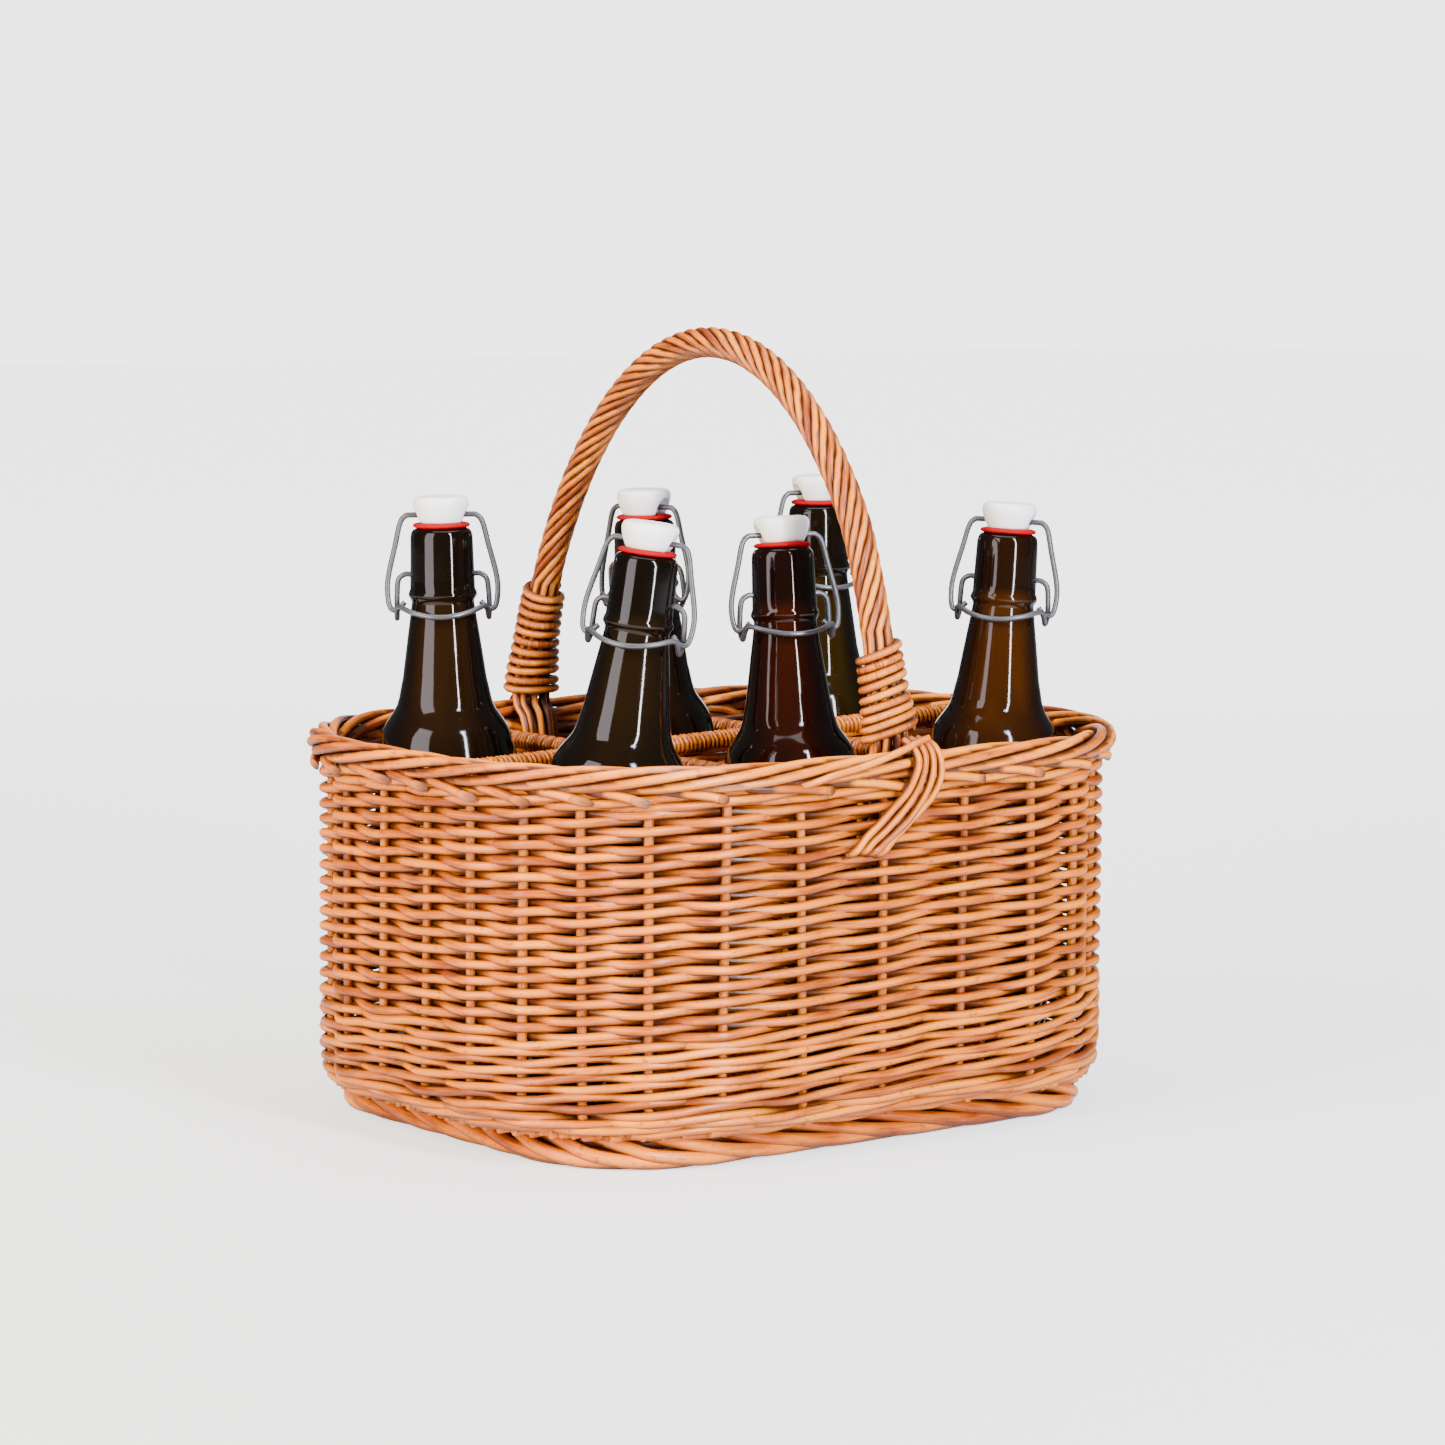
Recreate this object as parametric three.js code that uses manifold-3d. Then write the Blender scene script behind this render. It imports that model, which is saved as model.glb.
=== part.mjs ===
// Wicker bottle carrier holding six swing-top bottles.
// Millimetres, +Z up. X runs along the long side, -Y is the near long side,
// and the origin is on the ground under the middle of the basket.

import * as THREE from 'three';
import { mergeVertices } from 'three/addons/utils/BufferGeometryUtils.js';
import Module from 'manifold-3d';

const wasm = await Module();
wasm.setup();

// Gap kept between pieces that touch
const GAP = 0.3;

// Basket plans, as half lengths along X and Y with a corner radius
const WALL = { x: 186.0, y: 142.2, r: 111.5 };
const HIP = { x: 174.0, y: 134.2, r: 92.0 };
const RIM_LINE = { x: 184.6, y: 140.8, r: 110.1 };
const FOOT_LINE = { x: 153.2, y: 120.2, r: 56.6 };

// Heights of the bands of weaving, from the ground up
const FOOT_TOP = 14.8;
const BELLY_Z = 26;
const LOWER_WALE_TOP = 60;
const SIDE_TOP = 166;
const UPPER_WALE_TOP = 171.8;
const RIM_TOP = 184.8;

// Weaving
const STAKES = 31;
const STAKE_WIDER_ON_SIDES = 0.094;
const STAKE_CORNER_TREND = 0.04;
const STAKE_SHIFT = -0.0072;
const SIDE_ROWS = 29;
const BASE_WALE_ROWS = 3;
const LOWER_WALE_ROWS = 5;
const UPPER_WALE_ROWS = 3;
const WEAVE_DEPTH = 3.6;
const WALL_THICKNESS = 11;
const HIP_THICKNESS = 20;

// Twisted borders
const RIM_STATIONS = 48;
const RIM_RODS = 5;
const RIM_TURNS = 5;
const RIM_HALF_WIDTH = 7.1;
const FOOT_STATIONS = 48;
const FOOT_RODS = 4;
const FOOT_TURNS = 7;
const FOOT_HALF_WIDTH = 6.8;
const ROD_RELIEF = 0.1;

// Floor and dividers
const FLOOR = inset(HIP, HIP_THICKNESS + 2 * GAP);
const FLOOR_TOP = 19.6;
const DIVIDER_THICKNESS = 7;
const DIVIDER_BAR_RADIUS = 5;
const DIVIDER_BAR_SIDES = 5;
const DIVIDER_TOP = 181;
const CROSS_DIVIDER_TOP = 177;
const DIVIDER_RISE = 0.03;
const CROSS_DIVIDER_X = 58.5;

// Handle, an arch in a plane that is turned a little from the basket's short axis
const HANDLE = { half: 133, top: 367.6, spring: 187.7, pinch: 11.8, lean: -4.6, x: -8, turn: 2.6 };
// The near leg is straighter than the arch: how far inwards, and up to which share of the arch's height
const NEAR_LEG = { inwards: 3.0, share: 0.5 };
const ARCH_SPANS = 16;
const HANDLE_RODS = 7;
const HANDLE_RADIUS = 7.4;
const HANDLE_PITCH = 78;
const HANDLE_STATIONS = 36;
const LEG_END_Z = 118;
// Where the rods of a leg go down inside the wall, as distance inwards from the spring and height
const LEG_ROUTE = [[10.8, LEG_END_Z], [10.4, 146], [9.9, 167], [8.3, 177]];
// Half widths and half depths of a leg, where it crosses the border and at its lower end
const LEG_AT_BORDER = { width: 11.4, depth: 5 };
const LEG_AT_END = { width: 9.5, depth: 3 };

// Binding round a leg, a sleeve with a ridge for each turn
const WRAP_TOP = { near: 235, far: 243 };
const WRAP_BOTTOM = HANDLE.spring + 1;
const WRAP_TURNS = 10;
const WRAP_THICKNESS = 3.6;
const WRAP_FLARE = 2.2;
const WRAP_SEGMENTS = 10;
const WRAP_INNER_RINGS = 5;
const WRAP_SLACK = 1.9;
const WRAP_VALLEY = 2.8;

// Lashing that ties a leg to the basket, a ribbon of rods over the border and down the wall
const LASHING_RODS = 5;
const LASHING_THICKNESS = 3.6;
// Centre of the ribbon: along the wall from the handle, out from the rim's line, height, and its width
const LASHING_ROUTE = [
  [4.5, 2, 189.6, 12], [6.5, 8.6, 187, 14], [7.6, 10.9, 178.5, 16], [4.8, 8.4, 168, 16],
  [-3.5, 3.6, 157.5, 14.5], [-13, 3.6, 148.5, 13.5], [-22, 3.6, 140.5, 13],
];

// Foot of a bottle, as radii and heights above its base
const BOTTLE_FOOT = [[0, 0], [29, 0], [33.2, 2.2], [34.4, 7]];
// Shoulder, neck and finish, as radii and distances below the lip
const BOTTLE_TOP = [
  [34.4, 113.2], [31, 98.7], [29.2, 93.2], [22.7, 83.4], [17.6, 54.1], [14.8, 34.2], [16, 32.6], [16, 30],
  [14.6, 3.6], [13.4, 1], [11, 0], [0, 0],
];
const LIP_Z = 259.2;
const GLASS_SEGMENTS = 12;

// Swing-top closure
const GASKET_RADIUS = 13.6;
const GASKET_RIM = 1.4;
const GASKET_THICKNESS = 1.8;
const STOPPER_PROFILE = [[0, 0], [10.9, 0], [11.3, 3], [13, 9.8], [12.4, 12], [10.8, 12.7], [0, 12.7]];
const STOPPER_SEGMENTS = 10;
const WIRE_RADIUS = 1.2;
const WIRE_SIDES = 5;
const BAIL_STEPS = 22;
const LEVER_STEPS = 28;
const WIRE_HOLE = { radius: 1.6, sides: 6 };
const BAIL_ABOVE_LIP = 6.2;
const SOCKET_BELOW_LIP = 21.9;
const SOCKET_BOTTOM_RADIUS = 13.6;
const SOCKET_LENGTH = 6;
const BORE_LENGTH = 40;

// Each bottle: place of its base, lean along X and Y, height against the usual one, turn of its closure
const VIEW_TURN = -38;
const BOTTLES = [
  { name: 'back_left', x: -119.7, y: 47.9, leanX: -1.1, leanY: 0.8, taller: 0.5, turn: 0 },
  { name: 'front_left', x: -126.5, y: -59.9, leanX: 6.0, leanY: -3.9, taller: -6.1, turn: -15 },
  { name: 'front_middle', x: -6.4, y: -77.5, leanX: 1.2, leanY: 5.9, taller: -8.5, turn: 15 },
  { name: 'back_middle', x: 2.5, y: 49.5, leanX: -1.4, leanY: 0.7, taller: 0, turn: -35 },
  { name: 'back_right', x: 116.6, y: 62.1, leanX: -0.3, leanY: 0.6, taller: 3, turn: 25 },
  { name: 'front_right', x: 111, y: -64.8, leanX: 3.4, leanY: -0.7, taller: -5, turn: -15 },
];

const PAINTS = {
  willow: { color: 0xdd9a66, roughness: 0.55, metalness: 0 },
  dark_willow: { color: 0xb87347, roughness: 0.6, metalness: 0 },
  glass: { color: 0x2b1206, roughness: 0.05, metalness: 0 },
  stopper: { color: 0xe6e4e4, roughness: 0.25, metalness: 0 },
  rubber: { color: 0xe02838, roughness: 0.5, metalness: 0 },
  steel: { color: 0xb4b8c0, roughness: 0.35, metalness: 1 },
};

function paint(name) {
  return new THREE.MeshStandardMaterial(PAINTS[name]);
}

function named(name, geometry, paintName) {
  const mesh = new THREE.Mesh(geometry, paint(paintName));
  mesh.name = name;
  return mesh;
}

// A rounded rectangle, run anticlockwise from the middle of its near long side
function plan({ x, y, r }) {
  const quarter = Math.PI / 2;
  const path = new THREE.Path();
  path.moveTo(0, -y);
  path.lineTo(x - r, -y);
  path.absarc(x - r, r - y, r, -quarter, 0);
  path.lineTo(x, y - r);
  path.absarc(x - r, y - r, r, 0, quarter);
  path.lineTo(r - x, y);
  path.absarc(r - x, y - r, r, quarter, 2 * quarter);
  path.lineTo(-x, r - y);
  path.absarc(r - x, r - y, r, 2 * quarter, 3 * quarter);
  path.lineTo(0, -y);
  return path;
}

function blend(a, b, share) {
  const mix = THREE.MathUtils.lerp;
  return { x: mix(a.x, b.x, share), y: mix(a.y, b.y, share), r: mix(a.r, b.r, share) };
}

function inset({ x, y, r }, distance) {
  return { x: x - distance, y: y - distance, r: r - distance };
}

// Share of the way round at which stake i stands
function stakeShare(i) {
  const angle = (2 * Math.PI * i) / STAKES;
  const spread = STAKE_WIDER_ON_SIDES * Math.sin(2 * angle) + STAKE_CORNER_TREND * Math.sin(4 * angle);
  return THREE.MathUtils.euclideanModulo((angle + spread) / (2 * Math.PI) + STAKE_SHIFT, 1);
}

function planPoint(outline, share, z) {
  const p = outline.getPoint(share);
  return new THREE.Vector3(p.x, p.y, z);
}

function planNormal(outline, share) {
  const t = outline.getTangent(share);
  return new THREE.Vector3(t.y, -t.x, 0);
}

function signedVolume(points, index) {
  let volume = 0;
  for (let i = 0; i < index.length; i += 3) {
    const [a, b, c] = [points[index[i]], points[index[i + 1]], points[index[i + 2]]];
    volume += a.dot(b.clone().cross(c)) / 6;
  }
  return volume;
}

// A solid skinned over rows of points. Each row is a closed loop of as many points as the others.
// The rows join up at the end, or each end is closed by a fan from the middle of its row.
function skin(rows, joined) {
  const size = rows[0].length;
  const points = rows.flat();
  const index = [];
  const spans = joined ? rows.length : rows.length - 1;
  for (let i = 0; i < spans; i += 1) {
    const a = i * size;
    const b = ((i + 1) % rows.length) * size;
    for (let j = 0; j < size; j += 1) {
      const k = (j + 1) % size;
      index.push(a + j, b + j, b + k, a + j, b + k, a + k);
    }
  }
  if (!joined) {
    const last = (rows.length - 1) * size;
    const middles = [rows[0], rows[rows.length - 1]].map((row) => {
      const sum = row.reduce((total, p) => total.add(p), new THREE.Vector3());
      return points.push(sum.divideScalar(size)) - 1;
    });
    for (let j = 0; j < size; j += 1) {
      const k = (j + 1) % size;
      index.push(middles[0], j, k, middles[1], last + k, last + j);
    }
  }
  if (signedVolume(points, index) < 0) index.reverse();
  const geometry = new THREE.BufferGeometry();
  geometry.setFromPoints(points);
  geometry.setIndex(index);
  return geometry;
}

function merged(geometry) {
  const bare = geometry.clone();
  bare.deleteAttribute('normal');
  bare.deleteAttribute('uv');
  return mergeVertices(bare, 1e-4);
}

function toSolid(geometry) {
  const bare = merged(geometry);
  const vertProperties = new Float32Array(bare.getAttribute('position').array);
  const triVerts = new Uint32Array(bare.getIndex().array);
  return new wasm.Manifold(new wasm.Mesh({ numProp: 3, vertProperties, triVerts }));
}

function fromSolid(solid) {
  const mesh = solid.getMesh();
  const geometry = new THREE.BufferGeometry();
  geometry.setAttribute('position', new THREE.BufferAttribute(new Float32Array(mesh.vertProperties), 3));
  geometry.setIndex(new THREE.BufferAttribute(new Uint32Array(mesh.triVerts), 1));
  return geometry;
}

function lathe(profile, segments) {
  const points = profile.map(([radius, z]) => new THREE.Vector2(radius, z));
  return merged(new THREE.LatheGeometry(points, segments)).rotateX(Math.PI / 2);
}

// A round rod along a smooth curve through the given points
function rod(points, radius, sides, steps) {
  const section = new THREE.Shape();
  for (let i = 0; i < sides; i += 1) {
    const angle = (2 * Math.PI * i) / sides;
    const [x, y] = [radius * Math.cos(angle), radius * Math.sin(angle)];
    if (i === 0) section.moveTo(x, y);
    else section.lineTo(x, y);
  }
  section.closePath();
  const extrudePath = new THREE.CatmullRomCurve3(points.map((p) => new THREE.Vector3(...p)));
  return new THREE.ExtrudeGeometry(section, { steps, extrudePath, bevelEnabled: false });
}

// Outer outline of the wall at a height: it swells quickly from the foot, then stands upright
function wallOutline(z) {
  const share = THREE.MathUtils.clamp((z - FOOT_TOP) / (BELLY_Z - FOOT_TOP), 0, 1);
  return blend(HIP, WALL, Math.sin((share * Math.PI) / 2));
}

function wallThickness(z) {
  const share = THREE.MathUtils.clamp((z - FOOT_TOP) / (BELLY_Z - FOOT_TOP), 0, 1);
  return THREE.MathUtils.lerp(HIP_THICKNESS, WALL_THICKNESS, share);
}

// A band of woven wall. A weaver passes in front of a stake where front(stake, row) is true
// and behind it elsewhere, where the band steps back to the stake.
function wovenBand(bottom, top, rows, innerHeights, front) {
  const heights = [];
  for (let row = 0; row < rows; row += 1) {
    heights.push(THREE.MathUtils.lerp(bottom, top, row / (rows - 1)));
  }
  const outer = heights.map((z) => plan(wallOutline(z)));
  const inner = innerHeights.map((z) => plan(inset(wallOutline(z), wallThickness(z))));
  const sections = [];
  for (let stake = 0; stake < STAKES; stake += 1) {
    const share = stakeShare(stake);
    const loop = heights.map((z, row) => {
      const point = planPoint(outer[row], share, z);
      const depth = front(stake, row) ? 0 : WEAVE_DEPTH;
      return point.addScaledVector(planNormal(outer[row], share), -depth);
    });
    innerHeights.forEach((z, i) => loop.push(planPoint(inner[i], share, z)));
    sections.push(loop);
  }
  return skin(sections, true);
}

// A border of twisted rods: its section has one lobe for each rod, and turns as it goes round
function twistedBorder(line, centreZ, halfWidth, halfHeight, rods, turns, stations, floorZ) {
  const outline = plan(line);
  const sections = [];
  for (let i = 0; i < stations; i += 1) {
    const share = i / stations;
    const centre = planPoint(outline, share, centreZ);
    const normal = planNormal(outline, share);
    const loop = [];
    for (let j = 0; j < 2 * rods; j += 1) {
      const angle = (Math.PI * j) / rods - 2 * Math.PI * turns * share;
      const reach = j % 2 === 0 ? 1 : 1 - 2 * ROD_RELIEF;
      const point = centre.clone().addScaledVector(normal, halfWidth * reach * Math.cos(angle));
      point.z = Math.max(floorZ, point.z + halfHeight * reach * Math.sin(angle));
      loop.push(point);
    }
    sections.push(loop);
  }
  return skin(sections, true);
}

function footBorder() {
  const halfHeight = (FOOT_TOP - GAP) / 2 + 0.6;
  const centreZ = FOOT_TOP - GAP - halfHeight;
  return twistedBorder(FOOT_LINE, centreZ, FOOT_HALF_WIDTH, halfHeight, FOOT_RODS, FOOT_TURNS, FOOT_STATIONS, 0);
}

// In front of two stakes and behind the third
function waled(stake, row) {
  return (stake + row) % 3 !== 0;
}

function baseWale() {
  const top = BELLY_Z - GAP;
  return wovenBand(FOOT_TOP, top, BASE_WALE_ROWS, [top, FOOT_TOP], waled);
}

function lowerWale() {
  const top = LOWER_WALE_TOP - GAP;
  return wovenBand(BELLY_Z, top, LOWER_WALE_ROWS, [top, BELLY_Z], waled);
}

function sideWeave() {
  const heights = [SIDE_TOP - GAP, LOWER_WALE_TOP];
  return wovenBand(LOWER_WALE_TOP, SIDE_TOP - GAP, SIDE_ROWS, heights, (stake, row) => (stake + row) % 2 === 0);
}

function upperWale() {
  const top = UPPER_WALE_TOP - GAP;
  return wovenBand(SIDE_TOP, top, UPPER_WALE_ROWS, [top, SIDE_TOP], waled);
}

function rimBorder() {
  const halfHeight = (RIM_TOP - UPPER_WALE_TOP) / 2;
  const centreZ = RIM_TOP - halfHeight;
  return twistedBorder(RIM_LINE, centreZ, RIM_HALF_WIDTH, halfHeight, RIM_RODS, RIM_TURNS, RIM_STATIONS, 0);
}

function floorWeave() {
  const outline = plan(FLOOR);
  const corners = [];
  for (let stake = 0; stake < STAKES; stake += 1) corners.push([stakeShare(stake), stake]);
  corners.sort((a, b) => a[0] - b[0]);
  const shape = new THREE.Shape(corners.map(([share]) => outline.getPoint(share)));
  const depth = FLOOR_TOP - FOOT_TOP;
  return new THREE.ExtrudeGeometry(shape, { depth, bevelEnabled: false }).translate(0, 0, FOOT_TOP);
}

// Section of a divider, upright with a round bar along its top, in its thickness and height
function dividerSection(top) {
  const half = DIVIDER_THICKNESS / 2;
  const shape = new THREE.Shape();
  const bottom = FLOOR_TOP + GAP;
  const bend = Math.asin(half / DIVIDER_BAR_RADIUS);
  shape.moveTo(-half, bottom);
  shape.lineTo(half, bottom);
  const centre = top - DIVIDER_BAR_RADIUS;
  for (let i = 0; i <= DIVIDER_BAR_SIDES; i += 1) {
    const angle = THREE.MathUtils.lerp(-Math.PI / 2 + bend, 1.5 * Math.PI - bend, i / DIVIDER_BAR_SIDES);
    shape.lineTo(DIVIDER_BAR_RADIUS * Math.cos(angle), centre + DIVIDER_BAR_RADIUS * Math.sin(angle));
  }
  shape.closePath();
  return shape;
}

// A divider panel that runs along X from start to end; its top rises with X by rise for each millimetre
function dividerPanel(start, end, top, rise) {
  const geometry = new THREE.ExtrudeGeometry(dividerSection(top), {
    depth: end - start,
    bevelEnabled: false,
  });
  geometry.rotateX(Math.PI / 2).rotateZ(Math.PI / 2).translate(start, 0, 0);
  const position = geometry.getAttribute('position');
  for (let i = 0; i < position.count; i += 1) {
    const z = position.getZ(i);
    if (z > (FLOOR_TOP + top) / 2) position.setZ(i, z + rise * position.getX(i));
  }
  return geometry;
}

function longDivider() {
  const reach = WALL.x - WALL_THICKNESS - 4 * GAP;
  const panel = dividerPanel(-reach, reach, DIVIDER_TOP, DIVIDER_RISE);
  // The foot of the panel is cut back where the wall draws in towards the floor
  const cutter = new THREE.BoxGeometry(2 * reach, 4 * DIVIDER_BAR_RADIUS, 2 * BELLY_Z);
  const lowReach = FLOOR.x - 2 * GAP;
  let solid = toSolid(panel);
  for (const side of [-1, 1]) {
    const block = cutter.clone().translate(side * (lowReach + reach), 0, 0);
    solid = solid.subtract(toSolid(block));
  }
  return fromSolid(solid);
}

function crossDivider(side) {
  const start = DIVIDER_BAR_RADIUS + GAP;
  const reach = WALL.y - WALL_THICKNESS - 4 * GAP;
  const panel = dividerPanel(start, reach, CROSS_DIVIDER_TOP, 0);
  const lowReach = FLOOR.y - 2 * GAP;
  const block = new THREE.BoxGeometry(reach, 4 * DIVIDER_BAR_RADIUS, 2 * BELLY_Z);
  const solid = toSolid(panel).subtract(toSolid(block.translate(lowReach + reach / 2, 0, 0)));
  return fromSolid(solid).rotateZ((side * Math.PI) / 2);
}

// The arch's centre line: s is the distance from the middle along the handle's own plane
function archPoint(angle) {
  const up = Math.sin(angle);
  const nearLeg = angle < Math.PI / 2 ? Math.min(1, up / NEAR_LEG.share) : 1;
  const inwards = NEAR_LEG.inwards * Math.sin(Math.PI * nearLeg);
  const s = (HANDLE.half - HANDLE.pinch * up) * -Math.cos(angle) + HANDLE.lean * up + inwards;
  return new THREE.Vector2(s, HANDLE.spring + (HANDLE.top - HANDLE.spring) * up);
}

function handleLine() {
  const points = [];
  for (const [inwards, z] of LEG_ROUTE) points.push(new THREE.Vector2(inwards - HANDLE.half, z));
  for (let i = 0; i <= ARCH_SPANS; i += 1) points.push(archPoint((Math.PI * i) / ARCH_SPANS));
  for (const [inwards, z] of [...LEG_ROUTE].reverse()) {
    points.push(new THREE.Vector2(HANDLE.half - inwards, z));
  }
  return new THREE.CatmullRomCurve3(points.map((p) => new THREE.Vector3(0, p.x, p.y)));
}

// Half width and half depth of the handle at a height: round above, flat where it enters the basket
function handleGirth(z, wrapTop) {
  const flat = THREE.MathUtils.clamp((wrapTop - z) / (wrapTop - HANDLE.spring), 0, 1);
  const low = THREE.MathUtils.clamp((HANDLE.spring - z) / (HANDLE.spring - LEG_END_Z), 0, 1);
  const lerp = THREE.MathUtils.lerp;
  const width = lerp(lerp(HANDLE_RADIUS, LEG_AT_BORDER.width, flat), LEG_AT_END.width, low);
  const depth = lerp(lerp(HANDLE_RADIUS, LEG_AT_BORDER.depth, flat), LEG_AT_END.depth, Math.min(1, 4 * low));
  return { width, depth };
}

function placeHandlePart(geometry) {
  return geometry.rotateZ(THREE.MathUtils.degToRad(HANDLE.turn)).translate(HANDLE.x, 0, 0);
}

function handle() {
  const line = handleLine();
  const length = line.getLength();
  const across = new THREE.Vector3(1, 0, 0);
  const rows = [];
  for (let i = 0; i <= HANDLE_STATIONS; i += 1) {
    const share = i / HANDLE_STATIONS;
    const centre = line.getPointAt(share);
    const outward = line.getTangentAt(share).cross(across);
    const wrapTop = centre.y < 0 ? WRAP_TOP.near : WRAP_TOP.far;
    const { width, depth } = handleGirth(centre.z, wrapTop);
    const free = centre.z > wrapTop + 2;
    const row = [];
    for (let j = 0; j < 2 * HANDLE_RODS; j += 1) {
      const angle = (Math.PI * j) / HANDLE_RODS + (free ? (2 * Math.PI * share * length) / HANDLE_PITCH : 0);
      const reach = free && j % 2 === 1 ? 1 - 2 * ROD_RELIEF : 1;
      const point = centre.clone().addScaledVector(across, reach * width * Math.cos(angle));
      row.push(point.addScaledVector(outward, reach * depth * Math.sin(angle)));
    }
    rows.push(row);
  }
  return placeHandlePart(skin(rows, false));
}

// Centre of a leg at a height between the spring and the top of the wrap
function legCentre(z, side) {
  const up = (z - HANDLE.spring) / (HANDLE.top - HANDLE.spring);
  const angle = Math.asin(up);
  const point = archPoint(side < 0 ? angle : Math.PI - angle);
  return point.x;
}

function handleWrap(side) {
  const rings = 2 * WRAP_TURNS + 1;
  const wrapTop = side < 0 ? WRAP_TOP.near : WRAP_TOP.far;
  const rows = [];
  for (let i = 0; i < WRAP_SEGMENTS; i += 1) {
    const angle = (2 * Math.PI * i) / WRAP_SEGMENTS;
    const loop = [];
    const add = (z, extra) => {
      const { width, depth } = handleGirth(z, wrapTop);
      const below = (wrapTop - z) / (wrapTop - WRAP_BOTTOM);
      const x = (width + extra + WRAP_FLARE * below * below) * Math.cos(angle);
      const y = legCentre(z, side) + (depth + extra) * Math.sin(angle);
      loop.push(new THREE.Vector3(x, y, z));
    };
    for (let j = 0; j < rings; j += 1) {
      const z = THREE.MathUtils.lerp(WRAP_BOTTOM, wrapTop, j / (rings - 1));
      add(z, j % 2 === 1 ? WRAP_THICKNESS : WRAP_VALLEY);
    }
    for (let j = 0; j < WRAP_INNER_RINGS; j += 1) {
      add(THREE.MathUtils.lerp(wrapTop, WRAP_BOTTOM, j / (WRAP_INNER_RINGS - 1)), WRAP_SLACK);
    }
    rows.push(loop);
  }
  return placeHandlePart(skin(rows, true));
}

function lashing(side) {
  const last = LASHING_ROUTE.length - 1;
  const rows = LASHING_ROUTE.map(([along, out, z, width], i) => {
    const [before, after] = [LASHING_ROUTE[Math.max(0, i - 1)], LASHING_ROUTE[Math.min(last, i + 1)]];
    const run = new THREE.Vector3(after[0] - before[0], -(after[1] - before[1]), after[2] - before[2]);
    const overTop = i === 0 ? 1 : 0;
    const face = new THREE.Vector3(0, overTop - 1, overTop || (i === 1 ? 1 : 0)).normalize();
    const cross = run.clone().cross(face).normalize();
    const outward = cross.clone().cross(run).normalize();
    const centre = new THREE.Vector3(along, -(RIM_LINE.y + out), z);
    const row = [];
    for (let j = 0; j <= 2 * LASHING_RODS; j += 1) {
      const offset = (j / (2 * LASHING_RODS) - 0.5) * width;
      const lift = (j % 2 === 1 ? 0.5 : 0.1) * LASHING_THICKNESS;
      row.push(centre.clone().addScaledVector(cross, offset).addScaledVector(outward, lift));
    }
    for (const end of [1, -1]) {
      const low = centre.clone().addScaledVector(cross, (end * width) / 2);
      row.push(low.addScaledVector(outward, -LASHING_THICKNESS / 2));
    }
    return row;
  });
  const geometry = skin(rows, false);
  return side < 0 ? geometry : geometry.rotateZ(Math.PI);
}

// A hole for a wire, along X and centred at x and z
function wireHole(length, x, z) {
  const hole = new THREE.CylinderGeometry(WIRE_HOLE.radius, WIRE_HOLE.radius, length, WIRE_HOLE.sides);
  return toSolid(hole.rotateZ(Math.PI / 2).translate(x, 0, z));
}

// Swing-top bottle parts, standing on the origin with the closure's wires spread along X
function bottleGlass(lipZ) {
  const upper = BOTTLE_TOP.map(([radius, below]) => [radius, lipZ - below]);
  let solid = toSolid(lathe([...BOTTLE_FOOT, ...upper], GLASS_SEGMENTS));
  const middle = SOCKET_BOTTOM_RADIUS + SOCKET_LENGTH / 2;
  for (const side of [-1, 1]) {
    solid = solid.subtract(wireHole(SOCKET_LENGTH, side * middle, lipZ - SOCKET_BELOW_LIP));
  }
  return fromSolid(solid);
}

function gasket() {
  const [inner, half] = [GASKET_RADIUS - GASKET_RIM, GASKET_THICKNESS / 2];
  const profile = [[0, 0], [inner, 0], [GASKET_RADIUS, half], [inner, GASKET_THICKNESS], [0, GASKET_THICKNESS]];
  return lathe(profile, STOPPER_SEGMENTS);
}

function stopper(base) {
  const cup = toSolid(lathe(STOPPER_PROFILE, STOPPER_SEGMENTS).translate(0, 0, base));
  return fromSolid(cup.subtract(wireHole(BORE_LENGTH, 0, BAIL_ABOVE_LIP)));
}

function mirrored(half) {
  return [...half, ...half.map(([x, y, z]) => [-x, y, z]).reverse()];
}

// The upper wire: through the stopper, down both sides, and hooked into the lever's bends
function bailWire() {
  const half = [
    [-17.8, -2.4, -34.8], [-21.6, -2.5, -38.4], [-25.0, -1.8, -37], [-26.1, -0.5, -29], [-25.2, 0, -21],
    [-22, 0, -8], [-19.6, 0, 2], [-17, 0, 5.6], [-12.5, 0, BAIL_ABOVE_LIP],
  ];
  return rod(mirrored(half), WIRE_RADIUS, WIRE_SIDES, BAIL_STEPS);
}

// The lever: from a socket in the glass, down and round a bend, and round the front of the neck
function leverWire() {
  const half = [
    [-14.2, 0, -SOCKET_BELOW_LIP], [-17.8, 0, -SOCKET_BELOW_LIP], [-20.9, 0.2, -24.6], [-21.7, 1.2, -32],
    [-21.8, 1.4, -38.4], [-21.7, -2.6, -42.4], [-21.3, -6.4, -38.4], [-19.8, -9.2, -36.6],
    [-13.6, -15.6, -38.8], [-4.7, -19.6, -40.6],
  ];
  return rod(mirrored(half), WIRE_RADIUS, WIRE_SIDES, LEVER_STEPS);
}

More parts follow.
